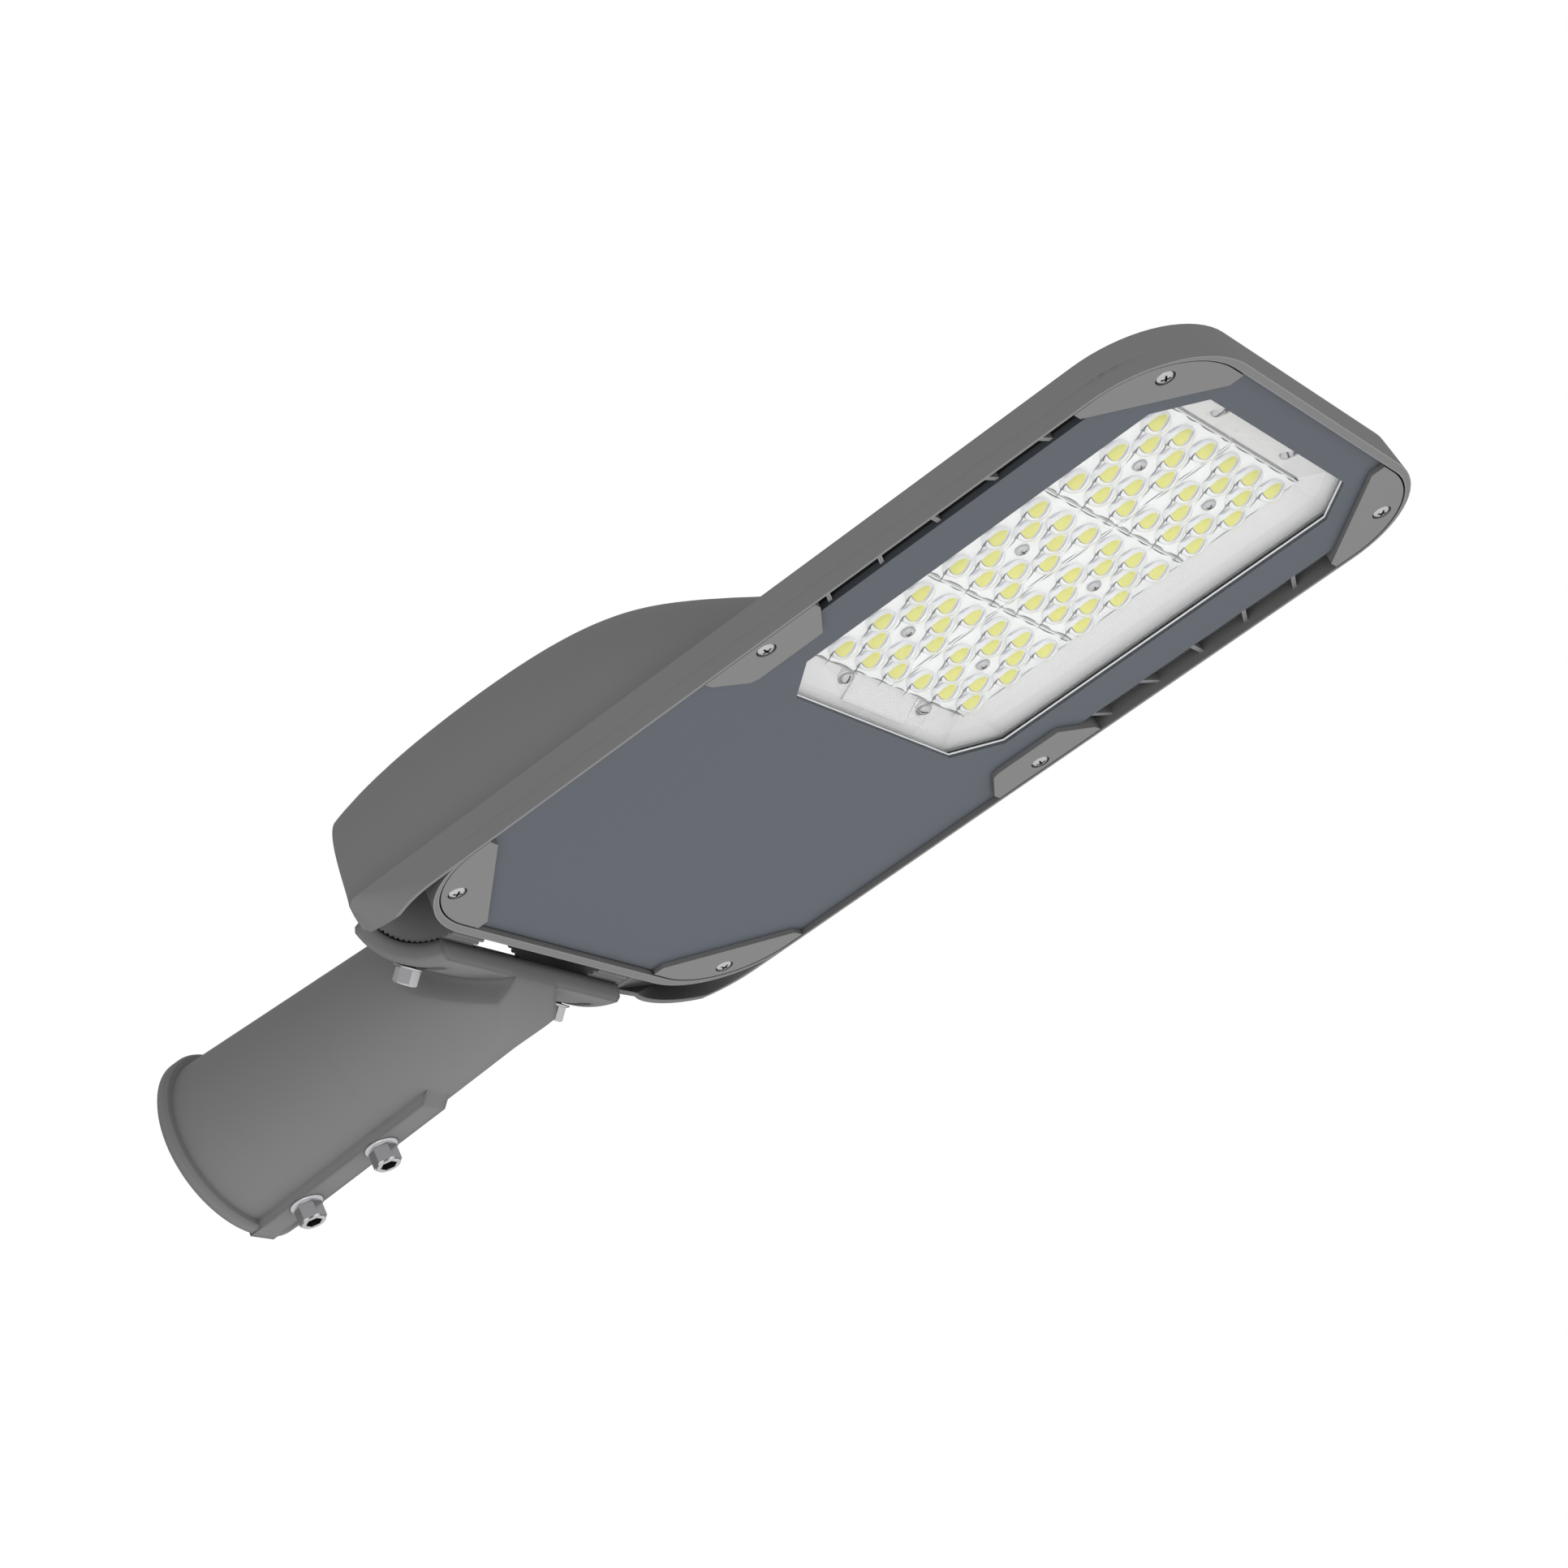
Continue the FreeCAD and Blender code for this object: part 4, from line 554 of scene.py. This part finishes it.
def chip_centres():
    centres = []
    for points in separate_solids("led_chips"):
        middle = (points.max(0) + points.min(0)) / 2
        centres.append((float(middle[0]), float(middle[1])))
    return centres


# Meshes


def join_rings(work, low, high, material=0, smooth=True):
    """Faces between two rings of corners. A ring of one corner is a tip."""
    count = max(len(low), len(high))
    for k in range(count):
        after = (k + 1) % count
        corners = [low[k % len(low)], low[after % len(low)], high[after % len(high)], high[k % len(high)]]
        face = work.faces.new(list(dict.fromkeys(corners)))
        face.smooth = smooth
        face.material_index = material


def turn_profile(work, profile, segments):
    """Turn (radius, height) points round Z. The first and last radius may be zero."""
    rings = []
    for radius, height in profile:
        if radius == 0:
            rings.append([work.verts.new((0, 0, height))])
            continue
        ring = []
        for k in range(segments):
            angle = 2 * math.pi * k / segments
            ring.append(work.verts.new((radius * math.cos(angle), radius * math.sin(angle), height)))
        rings.append(ring)
    for low, high in zip(rings, rings[1:]):
        join_rings(work, low, high)


def stack_rings(work, rings, material):
    """Flat faces between closed rings of corners, and a face over each end."""
    for low, high in zip(rings, rings[1:]):
        join_rings(work, low, high, material, smooth=False)
    work.faces.new(list(reversed(rings[0]))).material_index = material
    work.faces.new(rings[-1]).material_index = material


def hexagon_bar(work, across, low, high, chamfer, material=0):
    """A hexagon bar along Z with its top corners turned off."""
    reach = across / math.sqrt(3)
    rings = []
    for height, cap in ((low, reach), (high - chamfer, reach), (high, across / 2 * HEX_CROWN)):
        ring = []
        for k in range(BOLT_SEGMENTS):
            angle = 2 * math.pi * k / BOLT_SEGMENTS
            flat = math.cos(math.pi / 6) / math.cos((angle % (math.pi / 3)) - math.pi / 6)
            radius = min(reach * flat, cap)
            ring.append(work.verts.new((radius * math.cos(angle), radius * math.sin(angle), height)))
        rings.append(ring)
    stack_rings(work, rings, material)


def finish_bmesh(work, name):
    mesh = bpy.data.meshes.new(name)
    bmesh.ops.recalc_face_normals(work, faces=work.faces[:])
    work.to_mesh(mesh)
    work.free()
    return mesh


def mesh_object(name, mesh, materials, body):
    piece = bpy.data.objects.new(name, mesh)
    bpy.context.scene.collection.objects.link(piece)
    for material in materials:
        mesh.materials.append(material)
    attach(piece, body)
    return piece


def cut_mesh(mesh, tool):
    """The mesh with the tool's shape taken out of it. The cut keeps the tool's material."""
    body = bpy.data.objects.new("cut_body", mesh)
    cutter = bpy.data.objects.new("cut_tool", tool)
    for item in (body, cutter):
        bpy.context.scene.collection.objects.link(item)
    change = body.modifiers.new("cut", "BOOLEAN")
    change.operation = "DIFFERENCE"
    change.solver = "EXACT"
    change.object = cutter
    bpy.context.view_layer.update()
    result = bpy.data.meshes.new_from_object(body.evaluated_get(bpy.context.evaluated_depsgraph_get()))
    for item in (body, cutter):
        bpy.data.objects.remove(item)
    return result


def place_copies(name, template, placements, materials, body, node):
    """One piece made of a copy of the template at each placement, in place of a node."""
    work = bmesh.new()
    for placement in placements:
        copied = template.copy()
        copied.transform(placement)
        work.from_mesh(copied)
        bpy.data.meshes.remove(copied)
    mesh = bpy.data.meshes.new(name)
    work.to_mesh(mesh)
    work.free()
    piece = mesh_object(name, mesh, materials, body)
    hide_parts(node)


def pointing(tip, axis, spin=0.0):
    """A placement that sets a mesh's crown on tip with its Z along axis."""
    lean = axis.to_track_quat("Z", "Y").to_matrix().to_4x4()
    return Matrix.Translation(tip) @ lean @ Matrix.Rotation(spin, 4, "Z")


# Screws and bolts


def drive_tool(reach, width, depth, slotted):
    """What a driver bit leaves below z 0: a tapered cross, or one slot right across. Its faces carry the
    painted shade of the recess.
    """
    work = bmesh.new()
    half = width / 2
    plan = [(reach, -half), (reach, half), (half, half), (half, reach), (-half, reach), (-half, half)]
    if slotted:
        plan = [(reach * SLOT_REACH, -half), (reach * SLOT_REACH, half)]
    plan += [(-x, -y) for x, y in plan]
    rings = []
    for z, shrink in ((-depth, DRIVE_TAPER), (0.4 * depth, 1.0)):
        rings.append([work.verts.new((x * shrink, y * shrink, z)) for x, y in plan])
    stack_rings(work, rings, 1)
    return finish_bmesh(work, "drive_tool")


def pan_head(head_r, head_h, shank_r, shank_len, slotted):
    """A pan head screw with its crown at z 0 and its shank below."""
    work = bmesh.new()
    profile = [(0.0, 0.0)]
    for k in range(1, CROWN_STEPS + 1):
        turn = math.pi / 2 * k / CROWN_STEPS
        fall = head_h * CROWN_RISE * (1 - math.cos(turn))
        profile.append((head_r * math.sin(turn) ** CROWN_SQUARENESS, -fall))
    foot = -head_h - shank_len
    profile += [(head_r, -head_h), (shank_r, -head_h), (shank_r, foot), (0.0, foot)]
    turn_profile(work, profile, SCREW_SEGMENTS)
    tool = drive_tool(head_r * DRIVE_REACH, head_r * DRIVE_WIDTH, head_h * DRIVE_DEPTH, slotted)
    return cut_mesh(finish_bmesh(work, "pan_head"), tool)


def bolt_head(flange_r, across, head_h, shank_r, shank_len):
    """A flanged hexagon bolt, its crown at z 0, with a hexagon socket in the head."""
    seat = -head_h
    foot = seat - shank_len
    socket = across * SOCKET_ACROSS
    bar = bmesh.new()
    hexagon_bar(bar, across, seat + FLANGE_T * 0.6, 0.0, across * HEX_CHAMFER)
    tool = bmesh.new()
    # The socket's faces take the painted shade of the recess
    hexagon_bar(tool, socket, -head_h * SOCKET_DEPTH, head_h * 0.2, socket * 0.02, 1)
    head = cut_mesh(finish_bmesh(bar, "hexagon_head"), finish_bmesh(tool, "socket_tool"))
    work = bmesh.new()
    work.from_mesh(head)
    turn_profile(work, [
        (0.0, seat + FLANGE_T), (across * 0.5, seat + FLANGE_T), (flange_r * 0.9, seat + FLANGE_T * 0.75),
        (flange_r, seat + FLANGE_T * 0.35), (flange_r, seat), (shank_r, seat), (shank_r, foot), (0.0, foot),
    ], BOLT_SEGMENTS)
    return finish_bmesh(work, "bolt_head")


def dress_screws(name, node, look, slotted=False):
    """Screws with a cross or a slot in place of the plain ones of a node."""
    placements = []
    first_turn, next_turn = SCREW_TURN
    for number, points in enumerate(separate_solids(node)):
        tip, axis, head_r, shank_r = measure_screw(points)
        placements.append(pointing(tip, axis, first_turn + next_turn * number))
        along, off = along_and_off(points, tip, axis)
        length = -along.min()
        head_h = -along[off > head_r * 0.9].min()
    template = pan_head(head_r, head_h, shank_r, length - head_h, slotted)
    place_copies(name, template, placements, [look["zinc"], look["socket"]], HEAD, node)


def dress_bolts(name, node, look, body):
    """Flanged bolts with a hexagon socket in place of the plain ones of a node."""
    placements = []
    for points in separate_solids(node):
        tip, axis, flange_r, shank_r = measure_screw(points)
        placements.append(pointing(tip, axis))
        along, off = along_and_off(points, tip, axis)
        length = -along.min()
        head_h = -along[off > flange_r * 0.98].min()
        across = 2 * off[along > -0.1 * MM].max() * math.cos(math.pi / 6)
    template = bolt_head(flange_r, across, head_h, shank_r, length - head_h)
    place_copies(name, template, placements, [look["zinc"], look["socket"]], body, node)


# Lens plates


def optic_drop(x, y):
    """How far the optic's skin stands below the plate at x, y from its middle."""
    inside = 1 - (x / OPTIC_HALF_X) ** 2 - (y / OPTIC_HALF_Y) ** 2
    return OPTIC_RISE * math.sqrt(max(inside, 0.0))


def skin_corner(work, at, x, y, proud=0.0):
    """A mesh corner on an optic or the plate round it, at x, y from the middle named by at."""
    return work.verts.new((at[0] + x, at[1] + y, at[2] - optic_drop(x, y) - proud))


def add_optic(work, at):
    """A smooth drop on the plate, the yellow image of its chip and painted shade along the edges of its
    flanks.
    """
    rings = []
    for k in range(OPTIC_RINGS):
        share = math.sin(math.pi / 2 * k / (OPTIC_RINGS - 1))
        ring = []
        for s in range(OPTIC_SEGMENTS if k else 1):
            angle = 2 * math.pi * s / OPTIC_SEGMENTS
            x = OPTIC_HALF_X * share * math.cos(angle)
            y = OPTIC_HALF_Y * share * math.sin(angle)
            ring.append(skin_corner(work, at, x, y))
        rings.append(ring)
    for low, high in zip(rings, rings[1:]):
        join_rings(work, low, high)
    add_petal(work, at)
    pale, dark = (PALE_STRIP, FLANK_SHADE), (STRIP_LINE, SHORT_SIDE, TAIL)
    for lines, finish in ((pale, PALE_SHADE), (dark, DARK_SHADE)):
        for line in lines:
            add_ribbon(work, at, line, finish)


def add_petal(work, at):
    """The yellow image of the chip, as a skin just proud of the optic."""
    outline = [Vector(p) * MM for p in PETAL_FLANK + PETAL_SIDES]
    fine = []
    for a, b in zip(outline, outline[1:] + outline[:1]):
        fine += [a, a.lerp(b, 0.33), a.lerp(b, 0.67)]
    middle = sum(fine, Vector((0.0, 0.0))) / len(fine)
    layers = [[skin_corner(work, at, middle.x, middle.y, PETAL_PROUD)]]
    for k in range(1, PETAL_LAYERS + 1):
        points = [middle.lerp(point, k / PETAL_LAYERS) for point in fine]
        layers.append([skin_corner(work, at, p.x, p.y, PETAL_PROUD) for p in points])
    for low, high in zip(layers, layers[1:]):
        join_rings(work, low, high, IMAGE)


def smooth_line(points):
    """A curve through the points, with the same steps from each to the next."""
    path = []
    for k in range(len(points) - 1):
        before = points[max(k - 1, 0)]
        here, there = points[k], points[k + 1]
        after = points[min(k + 2, len(points) - 1)]
        for step in range(LINE_STEPS):
            t = step / LINE_STEPS
            path.append(0.5 * (
                2 * here + (there - before) * t + (2 * before - 5 * here + 4 * there - after) * t ** 2
                + (3 * here - before - 3 * there + after) * t ** 3
            ))
    path.append(points[-1])
    return path


def add_ribbon(work, at, line, finish):
    """A thin strip along points with half widths, laid on the optic and on the plate beside it."""
    path = smooth_line([Vector(p) * MM for p in line])
    sides = []
    for k, p in enumerate(path):
        way = path[min(k + 1, len(path) - 1)] - path[max(k - 1, 0)]
        across = Vector((-way.y, way.x)).normalized() * max(p.z, LINE_LEAST_W)
        edges = [(p.x + sign * across.x, p.y + sign * across.y) for sign in (-1, 1)]
        sides.append([skin_corner(work, at, x, y, LINE_PROUD) for x, y in edges])
    for (a, b), (c, d) in zip(sides, sides[1:]):
        face = work.faces.new([a, c, d, b])
        face.material_index = finish
        face.smooth = True


def add_edge_strokes(work, at, size):
    """A broken line of painted dark shade along the moulded edge of a lens plate."""
    x, y = (side / 2 / MM - STROKE_IN for side in size)
    corners = [Vector(p) for p in ((-x, -y), (x, -y), (x, y), (-x, y))]
    for a, b in zip(corners, corners[1:] + corners[:1]):
        bow = Vector((a.y - b.y, b.x - a.x)).normalized() * STROKE_BOW
        for start, end in EDGE_STROKES:
            line = []
            for step in range(STROKE_STEPS + 1):
                share = step / STROKE_STEPS
                swell = math.sin(math.pi * share)
                p = a.lerp(b, start + (end - start) * share) + bow * swell
                line.append((p.x, p.y, STROKE_HALF_W * max(swell, 0.0) ** 0.5 + STROKE_END_W))
            add_ribbon(work, at, line, DARK_SHADE)


def plate_outline(low, high):
    """A lens plate's outline with its rounded corners."""
    near_x, near_y = low.x + PLATE_CORNER, low.y + PLATE_CORNER
    far_x, far_y = high.x - PLATE_CORNER, high.y - PLATE_CORNER
    outline = []
    for x, y, start in ((far_x, far_y, 0), (near_x, far_y, 90), (near_x, near_y, 180), (far_x, near_y, 270)):
        for step in range(CORNER_STEPS + 1):
            angle = math.radians(start + 90 * step / CORNER_STEPS)
            outline.append((x + PLATE_CORNER * math.cos(angle), y + PLATE_CORNER * math.sin(angle)))
    return outline


def dress_lens(number, chips, look):
    """One moulded plate of optics in place of the plain one."""
    node = "lens_array_" + str(number)
    low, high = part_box(node)
    centre = (low + high) / 2
    base_z = low.z + OPTIC_RISE
    outline = plate_outline(low, high)
    shrink = 1 - PLATE_EDGE / (high.x - centre.x)
    inset = [(centre.x + (x - centre.x) * shrink, centre.y + (y - centre.y) * shrink) for x, y in outline]
    work = bmesh.new()
    rings = []
    for plan, z in ((outline, high.z), (outline, base_z + PLATE_EDGE), (inset, base_z)):
        rings.append([work.verts.new((x, y, z)) for x, y in plan])
    stack_rings(work, rings, SKIN)
    for x, y in chips:
        if low.x < x < high.x and low.y < y < high.y:
            add_optic(work, (x, y, base_z))
    add_edge_strokes(work, (centre.x, centre.y, base_z), (high.x - low.x, high.y - low.y))
    name = "lens_optics_" + str(number)
    finishes = [look["lens"], look["phosphor"], look["lens_pale_shade"], look["lens_dark_shade"]]
    piece = mesh_object(name, finish_bmesh(work, name), finishes, HEAD)
    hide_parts(node)


# Window seal


def opening_outline(grow):
    """The window opening in the cover plate, grown outwards."""
    low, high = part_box("window_glass")
    near = low.x + PANE_MARGIN - grow
    tip = high.x - PANE_MARGIN + grow
    half = high.y - PANE_MARGIN + grow
    lean = grow * math.tan(math.radians(22.5))
    along = OPENING_CORNER + grow - lean
    across = half - along
    quarter = [(near, across), (near + along, half), (tip - along, half), (tip, across)]
    return quarter + [(x, -y) for x, y in reversed(quarter)]


def add_seal_highlight_beads(look):
    """The seal that shows in front of the pane's edge and behind it, a real seal coloured white as a painted
    highlight along that edge.
    """
    low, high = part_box("window_glass")
    work = bmesh.new()
    for (inner, outer, height), pane, sign in ((FRONT_BEAD, low.z, -1), (BACK_BEAD, high.z, 1)):
        start = pane + sign * BEAD_GAP
        end = pane + sign * height
        loops = []
        for grow, z in ((inner, start), (inner, end), (outer, end), (outer, start)):
            loops.append([work.verts.new((x, y, z)) for x, y in opening_outline(grow)])
        for a, b in zip(loops, loops[1:] + loops[:1]):
            join_rings(work, a, b, smooth=False)
    name = "pane_seal_highlight_beads"
    mesh_object(name, finish_bmesh(work, name), [look["seal_highlight"]], HEAD)


# Camera and light


def make_camera():
    data = bpy.data.cameras.new("camera")
    data.lens = CAMERA_LENS
    data.sensor_width = CAMERA_SENSOR
    data.clip_start, data.clip_end = CAMERA_CLIP
    camera = bpy.data.objects.new("camera", data)
    columns = [Vector(v) for v in (CAMERA_RIGHT, CAMERA_UP, CAMERA_BACK)]
    turn = Matrix(columns).transposed().to_4x4()
    camera.matrix_world = Matrix.Translation(CAMERA_AT) @ turn
    bpy.context.scene.collection.objects.link(camera)
    bpy.context.scene.camera = camera


def level_ramp(tree, height, levels):
    """Light whose strength goes by height in the sky."""
    ramp = tree.nodes.new("ShaderNodeValToRGB")
    stops = ramp.color_ramp.elements
    while len(stops) < len(levels):
        stops.new(0.5)
    for stop, (place, level) in zip(stops, levels):
        stop.position = place
    for stop, (place, level) in zip(stops, levels):
        tone = level / SKY_STRENGTH
        stop.color = (tone, tone, tone, 1.0)
    wire(tree, height, ramp.inputs["Fac"])
    light = add_node(tree, "ShaderNodeBackground", {"Color": ramp.outputs["Color"], "Strength": SKY_STRENGTH})
    return light.outputs[0]


def make_world():
    """White where the camera and the glass see it, and soft light that is strongest from below."""
    world = bpy.data.worlds.new("studio")
    bpy.context.scene.world = world
    world.use_nodes = True
    tree = world.node_tree
    place = add_node(tree, "ShaderNodeTexCoord", {})
    split = add_node(tree, "ShaderNodeSeparateXYZ", {0: place.outputs["Generated"]})
    height = add_range(tree, split.outputs["Z"], (-1.0, 1.0))
    soft = level_ramp(tree, height, SKY_LEVELS)
    mirror = level_ramp(tree, height, MIRROR_LEVELS)
    white = tree.nodes["Background"]
    white.inputs["Color"].default_value = (1.0, 1.0, 1.0, 1.0)
    white.inputs["Strength"].default_value = 1.0
    path = add_node(tree, "ShaderNodeLightPath", {}).outputs
    seen = add_math(tree, "MAXIMUM", path["Is Camera Ray"], path["Is Transmission Ray"])
    bright = add_node(tree, "ShaderNodeMixShader", {"Fac": path["Is Glossy Ray"], 1: soft, 2: mirror})
    shown = add_node(tree, "ShaderNodeMixShader", {"Fac": seen, 1: bright.outputs[0], 2: white.outputs[0]})
    wire(tree, shown.outputs[0], tree.nodes["World Output"].inputs["Surface"])


def make_lamp():
    """One broad, weak lamp below and to the front."""
    data = bpy.data.lights.new("lamp_below", "AREA")
    data.shape = "DISK"
    data.size = LAMP_SIZE
    data.energy = LAMP_POWER
    lamp = bpy.data.objects.new("lamp_below", data)
    lamp.location = LAMP_AT
    lamp.rotation_mode = "QUATERNION"
    lamp.rotation_quaternion = (Vector(LAMP_AIMS_AT) - Vector(LAMP_AT)).to_track_quat("-Z", "Y")
    lamp.visible_camera = False
    bpy.context.scene.collection.objects.link(lamp)


def main():
    bpy.context.scene.view_settings.view_transform = "Standard"
    look = make_materials()
    finish_nodes(look)
    make_camera()
    make_world()
    make_lamp()
    chips = chip_centres()
    for number in range(1, LENS_PLATES + 1):
        dress_lens(number, chips, look)
    add_seal_highlight_beads(look)
    dress_screws("pad_screw_heads", "clamp_pad_screws", look)
    dress_screws("lens_screw_heads", "lens_screws", look)
    dress_screws("tray_screw_heads", "reflector_screws", look, slotted=True)
    dress_screws("gear_screw_heads", "gear_tray_screws", look)
    dress_bolts("tilt_bolt_heads", "tilt_bolts", look, HEAD)
    dress_bolts("pole_bolt_heads", "pole_clamp_bolts", look, SPIGOT)


main()
